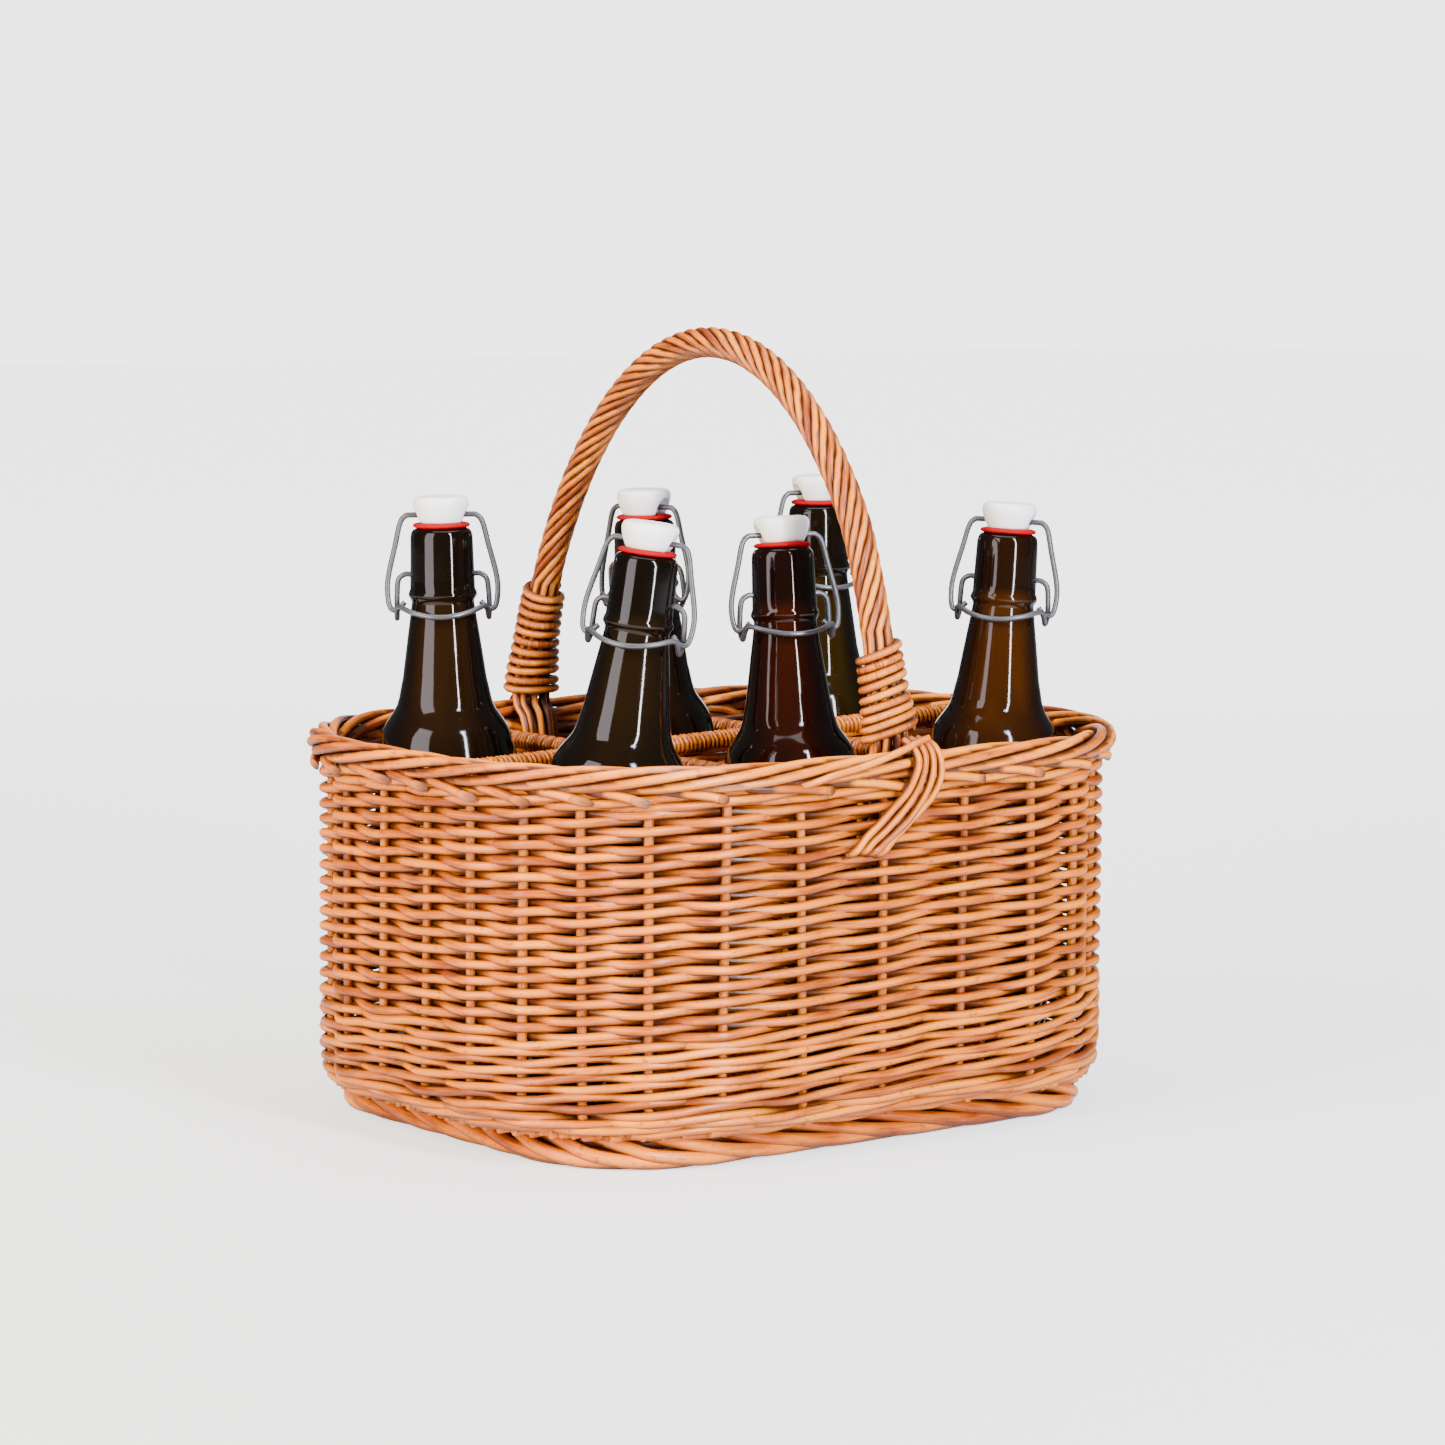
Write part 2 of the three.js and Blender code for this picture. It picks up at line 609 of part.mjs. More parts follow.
function bottle({ name, x, y, leanX, leanY, taller, turn }) {
  const lipZ = LIP_Z + taller;
  const pieces = new THREE.Group();
  const closure = new THREE.Group();
  closure.position.z = lipZ;
  const stopperBase = GASKET_THICKNESS + 2 * GAP;
  const seal = named(`gasket_${name}`, gasket(), 'rubber');
  seal.position.z = GAP;
  closure.add(seal);
  closure.add(named(`stopper_${name}`, stopper(stopperBase), 'stopper'));
  closure.add(named(`bail_${name}`, bailWire(), 'steel'));
  closure.add(named(`lever_${name}`, leverWire(), 'steel'));
  pieces.add(named(`bottle_${name}`, bottleGlass(lipZ), 'glass'));
  pieces.add(closure);
  pieces.rotation.z = THREE.MathUtils.degToRad(VIEW_TURN + turn);
  const stand = new THREE.Group();
  const [tx, ty] = [leanX, leanY].map((lean) => Math.tan(THREE.MathUtils.degToRad(lean)));
  const axis = new THREE.Vector3(tx, ty, 1).normalize();
  stand.quaternion.setFromUnitVectors(new THREE.Vector3(0, 0, 1), axis);
  // The leaning base stands on the edge that comes lowest
  const lift = BOTTLE_FOOT[1][0] * Math.hypot(axis.x, axis.y);
  stand.position.set(x, y, FLOOR_TOP + GAP + lift);
  stand.add(pieces);
  return stand;
}

function basket() {
  const group = new THREE.Group();
  group.add(named('foot_border', footBorder(), 'willow'));
  group.add(named('floor_weave', floorWeave(), 'dark_willow'));
  group.add(named('base_wale', baseWale(), 'willow'));
  group.add(named('lower_wale', lowerWale(), 'willow'));
  group.add(named('side_weave', sideWeave(), 'willow'));
  group.add(named('upper_wale', upperWale(), 'willow'));
  group.add(named('rim_border', rimBorder(), 'willow'));
  group.add(named('divider_long', longDivider(), 'dark_willow'));
  for (const [end, x] of [['left', -CROSS_DIVIDER_X], ['right', CROSS_DIVIDER_X]]) {
    for (const [place, side] of [['front', -1], ['back', 1]]) {
      const half = named(`divider_${end}_${place}`, crossDivider(side), 'dark_willow');
      half.position.x = x;
      group.add(half);
    }
  }
  group.add(named('handle', handle(), 'willow'));
  for (const [place, side] of [['front', -1], ['back', 1]]) {
    group.add(named(`handle_wrap_${place}`, handleWrap(side), 'willow'));
    group.add(named(`handle_lashing_${place}`, lashing(side), 'willow'));
  }
  return group;
}

const carrier = new THREE.Group();
carrier.add(basket());
for (const each of BOTTLES) carrier.add(bottle(each));

export default carrier;
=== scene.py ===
"""Wicker bottle carrier holding six swing-top bottles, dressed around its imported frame."""

import functools
import random
from math import asin, cos, hypot, pi, radians, sin, sqrt, tan

import bmesh
import bpy
from bpy.props import FloatProperty, FloatVectorProperty, IntProperty, PointerProperty
from mathutils import Matrix, Vector


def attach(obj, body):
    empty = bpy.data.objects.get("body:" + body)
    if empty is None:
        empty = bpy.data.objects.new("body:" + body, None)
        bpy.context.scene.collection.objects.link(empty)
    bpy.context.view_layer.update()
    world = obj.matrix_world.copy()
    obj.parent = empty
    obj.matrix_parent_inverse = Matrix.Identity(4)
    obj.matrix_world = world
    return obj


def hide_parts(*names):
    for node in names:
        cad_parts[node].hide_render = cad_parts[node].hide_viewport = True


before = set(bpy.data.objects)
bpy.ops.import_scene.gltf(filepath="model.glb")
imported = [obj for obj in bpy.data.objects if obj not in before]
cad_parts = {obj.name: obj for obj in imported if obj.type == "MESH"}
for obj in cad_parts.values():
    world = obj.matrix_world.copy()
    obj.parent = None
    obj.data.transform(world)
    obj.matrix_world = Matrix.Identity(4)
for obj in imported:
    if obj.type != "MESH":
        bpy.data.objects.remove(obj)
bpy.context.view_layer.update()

bl_info = {
    "name": "Wicker Bottle Carrier",
    "version": (1, 0, 0),
    "blender": (4, 5, 0),
    "location": "View3D > Sidebar > Carrier",
    "description": "Builds a willow carrier with its bottles around the packed frame",
    "category": "Add Mesh",
}

# Sizes are in millimetres, as in the frame. An outline is its half length, half width and corner radius
MM = 0.001
WALL = (186.0, 142.2, 111.5)
HIP = (174.0, 134.2, 92.0)
RIM_LINE = (184.6, 140.8, 110.1)
FOOT_LINE = (153.2, 120.2, 56.6)
FLOOR = (175.0, 134.6, 93.0)
FOOT_TOP = 14.8
FLOOR_TOP = 19.6
BELLY_Z = 26.0
LOWER_WALE_TOP = 60.0
SIDE_TOP = 166.0
UPPER_WALE_TOP = 171.8
RIM_TOP = 184.8
STAKES = 31
STEPS_PER_STAKE = 8
SPIRAL_START = 12.5
STAKE_HEIGHTS = (16, 20, 26, 40, 60, 90, 120, 150, 172)
# A foot rod as stakes ahead, distances out and heights, and the rings behind as distances out and heights
FOOT_ROUTE = (
    (-0.55, -5.6, 16.0), (0.0, -1.6, 13.6), (0.5, 2.0, 10.2), (1.0, 3.2, 6.6), (1.6, 2.9, 4.0),
    (2.2, 0.9, 3.4), (2.9, -2.2, 3.6), (3.5, -4.6, 4.4),
)
FOOT_RINGS = ((-3.4, 5.4), (-3.0, 11.6), (-5.0, 8.6))
RIM_HALF_WIDTH = 7.1
RIM_RISE = [(-0.02, -4.6, -13.5), (0.05, -4.4, -8.0), (0.25, -2.6, -5.2)]
FLOOR_ROD, FLOOR_ROW, FLOOR_STICK_GAP = 2.4, 4.3, 24.0
DIVIDER_TOP = 181.0
CROSS_DIVIDER_TOP = 177.0
DIVIDER_RISE = 0.03
DIVIDER_TO_WALL = 12.2
CROSS_DIVIDER_X = 58.5
CROSS_DIVIDER_START = 5.3
PANEL_ROW, PANEL_STICK_GAP, PANEL_SWAY, BAR_HALF = 4.0, 19.0, 1.5, 5.0
HANDLE_HALF = 133.0
HANDLE_TOP = 367.6
HANDLE_SPRING = 187.7
HANDLE_PINCH = 11.8
HANDLE_LEAN = -4.6
HANDLE_X = -8.0
HANDLE_TURN = 2.6
HANDLE_HALF_WIDTH = 7.4
HANDLE_SMOOTHING = 9
NEAR_LEG_INWARDS = 3.0
NEAR_LEG_SHARE = 0.5
LEG_ROUTE = ((10.8, 118.0), (10.2, 146.0), (8.4, 167.0), (5.6, 177.0))
LEG_END = LEG_ROUTE[0][1]
WRAP_TOP = {-1: 235.0, 1: 243.0}
WRAP_FLARE = 2.2
WRAP_STEPS = 16
# Each lashing rod as distances along the wall and heights, and the distance out at each of its stations
LASHING_RODS = (
    ((-0.8, 189.8), (0.6, 186.2), (1.2, 180.6), (-0.6, 174), (-3.6, 166.6), (-8.9, 160), (-16.6, 152.4),
     (-23.6, 147), (-29.6, 141)),
    ((3.2, 190.2), (4.6, 187.2), (5.2, 181.6), (3.4, 172.8), (0, 164.4), (-5.6, 156.4), (-14, 148.6),
     (-19.6, 144.6), (-24, 140.8)),
    ((7.4, 190.2), (8.9, 187.2), (9.7, 181.4), (9.2, 172.6), (6.2, 163.8), (0.6, 154.8), (-6.6, 148),
     (-13, 143.6), (-18.6, 140)),
    ((11.4, 189.6), (13, 186.4), (14.3, 180.2), (14.4, 172), (11.4, 164), (5.8, 157), (-1.4, 150.4),
     (-8.2, 144.4), (-13.8, 139.4)),
)
LASHING_DEPTHS = (-142.6, -148.6, -151.4, -151.2, -149.4, -147, -145.4, -144.9, -144.6)
LASHING_X = -1.5
LASHING_TAIL = (
    (-66, -141.5, 171.4), (-57, -146.4, 174.4), (-48, -148.4, 177), (-35, -149.4, 179.4),
    (-22, -149.6, 182.4), (-8, -149.4, 186.2), (2, -148.6, 189.2), (9, -148, 190.6),
)

# Bottle profile as radius and height above the base, and its finish as radius and distance below the lip
BODY = (
    (0, 3.2), (18, 3.0), (25, 1.4), (28.6, 0.1), (31.2, 0.6), (33.2, 2.4), (34.2, 5.2), (34.4, 9), (34.4, 40),
    (34.4, 100), (34.4, 141), (34.3, 146), (33.6, 151), (32.4, 155.4), (31.3, 159.2), (30.5, 162.4),
    (29.5, 165), (27.9, 167.7), (25.8, 170.7), (23.9, 173.4), (22.7, 175.9), (21.8, 179), (20.6, 185),
    (19.9, 188), (18.5, 198),
)
FINISH = (
    (16.9, 50.0), (15.7, 42.0), (14.9, 36.2), (14.8, 34.4), (15.4, 33.2), (16.1, 32.2), (16.2, 31.0),
    (15.8, 29.8), (15.3, 28.6), (15.2, 24.0), (14.9, 12.0), (14.7, 4.2), (14.3, 2.0), (13.3, 0.6),
    (11.6, 0.0), (0, 0.0),
)
BASE_RADIUS = 29
LIP_Z = 259.2
STRAIGHT_PART_Z = 120.0
VIEW_TURN = -38.0
# Each bottle's place, its leans and its turn in degrees, and how much taller it is than LIP_Z
BOTTLES = {
    "back_left": (-119.7, 47.9, -1.1, 0.8, 0.5, 0),
    "front_left": (-126.5, -59.9, 6.0, -3.9, -6.1, -15),
    "front_middle": (-6.4, -77.5, 1.2, 5.9, -8.5, 15),
    "back_middle": (2.5, 49.5, -1.4, 0.7, 0, -35),
    "back_right": (116.6, 62.1, -0.3, 0.6, 3, 25),
    "front_right": (111, -64.8, 3.4, -0.7, -5, -15),
}
# How much of the painted glow, light coming through the glass, shows in red, green and blue in each bottle
GLOW = {
    "back_left": (0.32, 0.5, 1.0), "front_left": (0.22, 0.42, 1.0), "front_middle": (0.62, 0.36, 0.6),
    "back_middle": (0.5, 0.62, 0.8), "back_right": (0.42, 0.85, 0.6), "front_right": (1.0, 1.06, 0.8),
}
# The closures' shapes from the lip up: half of each wire, the gasket's and the stopper's profile
BAIL_HALF = (
    (-17.8, -2.4, -34.8), (-21.6, -2.5, -38.4), (-25.0, -1.8, -37), (-26.1, -0.5, -29), (-25.2, 0, -21),
    (-22, 0, -8), (-19.6, 0, 2), (-17, 0, 5.6), (-12.5, 0, 6.2),
)
LEVER_HALF = (
    (-14.2, 0, -21.9), (-17.8, 0, -21.9), (-20.9, 0.2, -24.6), (-21.7, 1.2, -32), (-21.8, 1.4, -38.4),
    (-21.7, -2.6, -42.4), (-21.3, -6.4, -38.4), (-19.8, -9.2, -36.6), (-13.6, -15.6, -38.8),
    (-4.7, -19.6, -40.6),
)
GASKET = ((0, 0.1), (11.9, 0.1), (13.0, 0.4), (13.6, 1.1), (13.5, 1.6), (12.7, 2.2), (11.4, 2.5), (0, 2.5))
STOPPER = (
    (0, 2.4), (9.9, 2.4),
    *((10.4 + 2.5 * sin(pi / 2 * k / 14) + 0.25 * k / 14, 2.9 + 9.0 * k / 14) for k in range(15)), (13.0, 12.8), (12.5, 13.8), (11.5, 14.6), (9.5, 15.0), (0, 15.1),
)
NOTCH_HALF, NOTCH_TOP, NOTCH_DEPTH = 3.8, 6.6, 5.2

# Each lamp's place, aim, width, height, power and tint, and whether it shows in shiny surfaces
WARM, MAUVE, WHITE, COOL = (1.0, 0.88, 0.42), (1.0, 0.9, 0.95), (1.0, 1.0, 1.0), (0.9, 1.0, 1.45)
LAMPS = {
    "strip": ((-0.1, -1.6, 0.9), (0, 0, 0.9), 0.1, 1.76, 58, WHITE, True),
    "window": ((-0.1, -1.3, 1.4), (0, 0, 0.16), 0.26, 0.26, 6, COOL, True),
    "right": ((-0.1, -1.6, 1.2), (0, 0, 0.16), 0.5, 1.2, 27, COOL, False),
    "left": ((-1.6, -0.14, 0.9), (0, 0, 0.9), 0.9, 1.76, 42, MAUVE, True),
    "left_fill": ((-1.6, -0.2, 1.0), (0, 0, 0.16), 0.8, 1.2, 52, WARM, False),
    "top": ((0.1, 0.1, 1.9), (0, 0, 0.16), 1.5, 1.5, 29, WHITE, True),
    "fill": ((1.5, -0.9, 1.2), (0, 0, 0.16), 0.8, 1.2, 5, COOL, False),
}
# The camera's angles in degrees and place in metres, and the photograph's width and focal length in pixels
AZIMUTH, ELEVATION, ROLL = -38.04, 6.312, 0.453
AIM_ASIDE, AIM_HEIGHT, DISTANCE = 0.003434, 0.18469, 2.265
PHOTO_WIDTH, FOCAL_LENGTH, SENSOR_WIDTH = 1445, 4701.3, 36.0


# ---- lines that the willow follows

def spread(first, last, count):
    """Evenly spaced numbers from first to last, with count gaps between them."""
    return [first + (last - first) * i / count for i in range(count + 1)]


def clamp(value, low=0.0, high=1.0):
    return min(max(value, low), high)


def outline_at(plan, share):
    """Point and outward direction on a rounded rectangle, at a share of the way round it."""
    x, y, r = plan
    straight_x, straight_y, arc = x - r, y - r, pi * r / 2
    left = (share % 1.0) * 4 * (straight_x + straight_y + arc)
    point, heading = Vector((0.0, -y)), 0.0
    half = (arc, 2 * straight_y, arc)
    for run, length in enumerate((straight_x, *half, 2 * straight_x, *half, straight_x)):
        step = min(left, length)
        if run % 2:
            centre = point + r * Vector((-sin(heading), cos(heading)))
            heading += step / r
            point = centre - r * Vector((-sin(heading), cos(heading)))
        else:
            point = point + step * Vector((cos(heading), sin(heading)))
        left -= step
        if left <= 1e-9:
            break
    return point, Vector((sin(heading), -cos(heading), 0.0))


def beside(plan, share, out, z):
    """Point at a distance outside an outline and at a height, with its outward direction."""
    point, outward = outline_at(plan, share)
    return Vector((point.x, point.y, z)) + out * outward, outward


def stake_share(stake):
    """Share of the way round at which a stake stands; stakes are wider apart on the long sides."""
    angle = 2 * pi * stake / STAKES
    return (angle + 0.094 * sin(2 * angle) + 0.04 * sin(4 * angle)) / (2 * pi) - 0.0072


def wall_point(stake, z, depth):
    """Point at a depth behind the wall's outer face, by stake and height, with the outward direction."""
    swell = sin(clamp((z - FOOT_TOP) / (BELLY_Z - FOOT_TOP)) * pi / 2)
    plan = tuple(a + (b - a) * swell for a, b in zip(HIP, WALL))
    return beside(plan, stake_share(stake), -depth, z)


def smooth(points, steps):
    """Points along a smooth curve through the given ones."""
    line = [Vector(p) for p in points]
    line = [2 * line[0] - line[1], *line, 2 * line[-1] - line[-2]]
    out = []
    for a, b, c, d in zip(line, line[1:], line[2:], line[3:]):
        for t in spread(0, 1, steps)[:-1]:
            out.append(0.5 * (2 * b + (c - a) * t + (2 * a - 5 * b + 4 * c - d) * t ** 2
                              + (3 * b - a - 3 * c + d) * t ** 3))
    return [*out, line[-2]]


def line_mesh(name, runs):
    """Loose edges through runs of points in millimetres, each run with its values by attribute name."""
    points, edges = [], []
    for run in runs:
        first = len(points)
        points.extend(MM * p for p in run["points"])
        edges.extend((i, i + 1) for i in range(first, len(points) - 1))
    mesh = bpy.data.meshes.new(name)
    mesh.from_pydata([tuple(p) for p in points], edges, [])
    for key in set(runs[0]) - {"points"}:
        values = [value for run in runs for value in run[key]]
        if isinstance(values[0], Vector):
            flat = [c for v in values for c in v]
            mesh.attributes.new(key, VECTOR, "POINT").data.foreach_set("vector", flat)
        else:
            mesh.attributes.new(key, "FLOAT", "POINT").data.foreach_set("value", values)
    return placed(name, mesh)


def placed(name, data):
    """A new object of the scene."""
    item = bpy.data.objects.new(name, data)
    bpy.context.scene.collection.objects.link(item)
    return item


def rod_run(points, tone, taper=0.0, facing=None, slant=1.2):
    """A single rod's run, tapering to its tip. One with a facing ends in a slanting cut on that side."""
    run = {}
    if facing is not None:
        end = points[-1]
        clear = max(i for i, p in enumerate(points) if (p - end).length > 2.6 * slant) + 1
        along = (end - points[clear - 1]).normalized()
        points = [*points[:clear], end - 0.3 * along, end]
        run["outward"] = [*facing[:clear], facing[-1], facing[-1]]
        run["cut"] = [Vector((0, 0, 0))] * clear + [-slant * along] * 2
        run["tip"] = [0.0] * (clear + 1) + [1.0]
    thick = spread(1.0, 1.0 - taper, len(points) - 1)
    return {**run, "points": points, "thick": thick, "rod": [tone] * len(points)}


def twist_run(points, across, outward, ways, tone=0.3):
    """A run for the twist tree; across and outward are given in millimetres."""
    count = len(points)
    return {
        "points": points, "across": [MM * v for v in across], "outward": [MM * v for v in outward],
        "way": ways, "thick": [1.0] * count, "rod": [tone] * count,
    }


# ---- nodes

class Flow:
    """What comes out of a node. Arithmetic with it adds the math nodes that it takes."""

    def __init__(self, nodes, socket):
        self.nodes, self.socket = nodes, socket

    def other(self, output):
        """Another output of the same node."""
        return Flow(self.nodes, self.socket.node.outputs[output])

    def calc(self, operation, value):
        return self.nodes.calc(operation, self, value)

    def __rsub__(self, value):
        return self.nodes.calc("SUBTRACT", value, self)

    __add__ = functools.partialmethod(calc, "ADD")
    __sub__ = functools.partialmethod(calc, "SUBTRACT")
    __mul__ = functools.partialmethod(calc, "MULTIPLY")
    __truediv__ = functools.partialmethod(calc, "DIVIDE")


class Nodes:
    """The nodes of one tree. An input is set or linked by its name or number."""

    def __init__(self, tree):
        self.tree = tree

    def wire(self, node, wires):
        for key, value in wires.items():
            if isinstance(value, Flow):
                self.tree.links.new(value.socket, node.inputs[key])
            else:
                node.inputs[key].default_value = value

    def add(self, kind, wires=None, out=0, **settings):
        """A new node's output, by name or number."""
        node = self.tree.nodes.new(kind)
        for key, value in settings.items():
            setattr(node, key, value)
        self.wire(node, wires or {})
        return Flow(self, node.outputs[out])

    def calc(self, operation, *values):
        return self.add("ShaderNodeMath", dict(enumerate(values)), operation=operation)

    def vector(self, operation, *values):
        return self.add("ShaderNodeVectorMath", dict(enumerate(values)), operation=operation)

    def dot(self, a, b):
        return self.vector("DOT_PRODUCT", a, b).other("Value")

    def scaled(self, value, factor):
        return self.add("ShaderNodeVectorMath", {0: value, "Scale": factor}, operation="SCALE")

    def axis(self, value, number):
        return self.add("ShaderNodeSeparateXYZ", {0: value}, number)

    def remap(self, value, low, high, to_low=0.0, to_high=1.0):
        return self.add("ShaderNodeMapRange", {0: value, 1: low, 2: high, 3: to_low, 4: to_high})

    def noise(self, place, detail, scale=1.0, stretch=None):
        place = self.vector("MULTIPLY", place, stretch) if stretch else place
        return self.add("ShaderNodeTexNoise", {"Vector": place, "Scale": scale, "Detail": detail})

    def mixed(self, factor, a, b, blend="MIX"):
        return self.add("ShaderNodeMix", {0: factor, 6: a, 7: b}, 2, data_type="RGBA", blend_type=blend)

    def marked(self, name, out="Fac"):
        """A value that a material reads from the piece."""
        return self.add("ShaderNodeAttribute", out=out, attribute_name=name)

    def object_place(self):
        return self.add("ShaderNodeTexCoord", out="Object")

    def camera_ray(self):
        return self.add("ShaderNodeLightPath", out="Is Camera Ray")

    def bump(self, height, strength, distance):
        wires = {"Height": height, "Strength": strength, "Distance": distance}
        return self.add("ShaderNodeBump", wires, "Normal")

    def named(self, name, kind="FLOAT"):
        """A value that a geometry tree reads from its points."""
        return self.add("GeometryNodeInputNamedAttribute", {"Name": name}, "Attribute", data_type=kind)

    def direction(self, name):
        return self.named(name, VECTOR)

    def position(self):
        return self.add("GeometryNodeInputPosition")

    def store(self, geometry, name, value, kind="FLOAT"):
        wires = {"Geometry": geometry, "Name": name, "Value": value}
        return self.add("GeometryNodeStoreNamedAttribute", wires, data_type=kind, domain="POINT")

    def moved(self, geometry, offset):
        return self.add("GeometryNodeSetPosition", {"Geometry": geometry, "Offset": offset})

    def curves(self):
        """The lines given to a geometry tree, as curves."""
        return self.add("GeometryNodeMeshToCurve", {"Mesh": self.start["Geometry"]})


FLOAT, INT, COLOUR = "NodeSocketFloat", "NodeSocketInt", "NodeSocketColor"
GEOMETRY, MATERIAL = "NodeSocketGeometry", "NodeSocketMaterial"
VECTOR = "FLOAT_VECTOR"


def new_group(name, kind, inputs, outputs):
    """A node group with labelled sockets, each with its kind and default; start has what its inputs give."""
    nodes = Nodes(bpy.data.node_groups.new(name, kind))
    for way, sockets in (("INPUT", inputs), ("OUTPUT", outputs)):
        for label, socket_kind, default in sockets:
            socket = nodes.tree.interface.new_socket(label, in_out=way, socket_type=socket_kind)
            if default is not None:
                socket.default_value = default
    nodes.start = {s.name: Flow(nodes, s) for s in nodes.tree.nodes.new("NodeGroupInput").outputs}
    return nodes


def closed(nodes, **results):
    """Gives the group its results, and returns its tree."""
    nodes.wire(nodes.tree.nodes.new("NodeGroupOutput"), results)
    return nodes.tree


def made_once(store):
    """Makes a builder return the data block of its name where there is one already."""
    def wrap(build):
        @functools.wraps(build)
        def find(name, *values, **more):
            return getattr(bpy.data, store).get(name) or build(name, *values, **more)
        return find
    return wrap


# ---- geometry node trees

ROD_SIZES = (
    ("Rod Radius", FLOAT, 0.002), ("Sides", INT, 8), ("Unevenness", FLOAT, 0.08), ("Seed", FLOAT, 1.0))
SKIN_SIZES = (*ROD_SIZES, ("Material", MATERIAL, None))
GIRTH_SCALE = 70.0
EDGE_OF_CUT = 1.1
GRAIN_SHIFT = 5.0
WEAVER_BEND = 0.94
THINNEST_STRAND = 0.82


def geometry_tree(name, sizes):
    geometry = ("Geometry", GEOMETRY, None)
    return new_group(name, "GeometryNodeTree", (geometry, *sizes), (geometry,))


@made_once("node_groups")
def rod_skin(name):
    """Round rods along curves, uneven as grown wood is, with a straightened grain position at each point."""
    nodes = geometry_tree(name, ROD_SIZES)
    start = nodes.start
    along = nodes.add("GeometryNodeSplineParameter", out="Length")
    place = nodes.position()
    noise = nodes.noise(nodes.vector("ADD", place, start["Seed"]), 2.0, GIRTH_SCALE)
    girth = ((noise - 0.5) * (start["Unevenness"] * 4.0) + 1.0) * nodes.named("thick")
    curve = nodes.add("GeometryNodeSetCurveRadius", {"Curve": start["Geometry"], "Radius": girth})
    curve = nodes.store(curve, "along", along)
    curve = nodes.store(curve, "centre", place, VECTOR)
    circle = {"Resolution": start["Sides"], "Radius": start["Rod Radius"]}
    ring = nodes.add("GeometryNodeCurvePrimitiveCircle", circle, "Curve", mode="RADIUS")
    ring = nodes.store(ring, "cross", nodes.position(), VECTOR)
    mesh = nodes.add("GeometryNodeCurveToMesh", {"Curve": curve, "Profile Curve": ring, "Fill Caps": True})
    cross = nodes.axis(nodes.direction("cross"), 0)
    straight = nodes.named("along") + nodes.named("rod") * GRAIN_SHIFT
    grain = nodes.add("ShaderNodeCombineXYZ", {0: straight, 1: cross, 2: cross.other(1)})
    mesh = nodes.store(mesh, "grain", grain, VECTOR)
    off = nodes.vector("SUBTRACT", nodes.position(), nodes.direction("centre"))
    outer = nodes.dot(off, nodes.direction("outward"))
    mesh = nodes.moved(mesh, nodes.scaled(nodes.direction("cut"), outer))
    angle = nodes.add("GeometryNodeInputMeshEdgeAngle", out="Unsigned Angle")
    soft = nodes.calc("LESS_THAN", angle, EDGE_OF_CUT)
    mesh = nodes.add("GeometryNodeSetShadeSmooth", {"Geometry": mesh, "Shade Smooth": soft}, domain="EDGE")
    return closed(nodes, Geometry=mesh)


def skinned(nodes, curve, shade=(), deep=None):
    """Skins the curves as rods and gives them their material. A shade of a direction's attribute and two
    limits paints shade on what turns from it or hangs under, and a depth paints shade on what lies deep in
    the wall."""
    if deep:
        curve = nodes.store(curve, "shade", deep)
    sizes = {label: nodes.start[label] for label, _, _ in ROD_SIZES}
    mesh = nodes.add("GeometryNodeGroup", {"Geometry": curve, **sizes}, "Geometry",
                     node_tree=rod_skin("Rod Skin"))
    if shade:
        direction, open_at, dark_at = shade
        # painted shade: darker where the surface turns from the direction, as in crevices, and on undersides
        normal = nodes.add("GeometryNodeInputNormal")
        turned = nodes.remap(nodes.dot(normal, nodes.direction(direction)), open_at, dark_at)
        under = nodes.remap(nodes.axis(normal, 2), -0.1, -0.85, 0.0, 0.8)
        painted_shade = nodes.calc("MAXIMUM", nodes.calc("MAXIMUM", turned, under), nodes.named("shade"))
        mesh = nodes.store(mesh, "shade", painted_shade)
    real = nodes.add("GeometryNodeRealizeInstances", {"Geometry": mesh})
    finish = {"Geometry": real, "Material": nodes.start["Material"]}
    return closed(nodes, Geometry=nodes.add("GeometryNodeSetMaterial", finish))


@made_once("node_groups")
def rods_tree(name, shade):
    """Rods that lie along the given lines, with painted shade when a shade is given."""
    nodes = geometry_tree(name, SKIN_SIZES)
    return skinned(nodes, nodes.curves(), shade)


@made_once("node_groups")
def woven_tree(name):
    """Weavers that go in front of and behind the stakes, by the stake count at each point of their line, with
    painted shade where they pass behind a stake.
    """
    nodes = geometry_tree(name, (
        ("Stroke", FLOAT, 2.0), ("Stake Depth", FLOAT, 0.0058), ("Sway", FLOAT, 0.0039),
        ("Front Turn", FLOAT, -1.0), ("Slope", FLOAT, 0.0), ("Swell", FLOAT, 0.1), ("Wander", FLOAT, 0.004),
        *SKIN_SIZES))
    start = nodes.start
    turn = nodes.named("stake") / start["Stroke"] * (2 * pi)
    wave = nodes.calc("ARCSINE", nodes.calc("COSINE", turn) * WEAVER_BEND) / asin(WEAVER_BEND)
    back = nodes.remap(wave, start["Front Turn"], 1.0, -1.0, 1.0)
    depth = start["Stake Depth"] + back * start["Sway"]
    inward = nodes.scaled(nodes.direction("outward"), depth * -1.0)
    noise = nodes.noise(nodes.position(), 1.0, stretch=(22.0, 22.0, 30.0))
    rise = nodes.calc("SINE", turn) * (start["Slope"] * nodes.named("lift")) + (noise - 0.5) * start["Wander"]
    offset = nodes.vector("ADD", inward, nodes.add("ShaderNodeCombineXYZ", {2: rise}))
    curve = nodes.moved(nodes.curves(), offset)
    curve = nodes.store(curve, "thick", nodes.named("thick") * (1.0 - back * start["Swell"]))
    # painted shade on the stretches that pass behind a stake, and where the rods turn from the front or hang
    # under
    return skinned(nodes, curve, ("outward", 0.8, 0.1), nodes.remap(back, -0.3, 0.75, 0.0, 0.95))


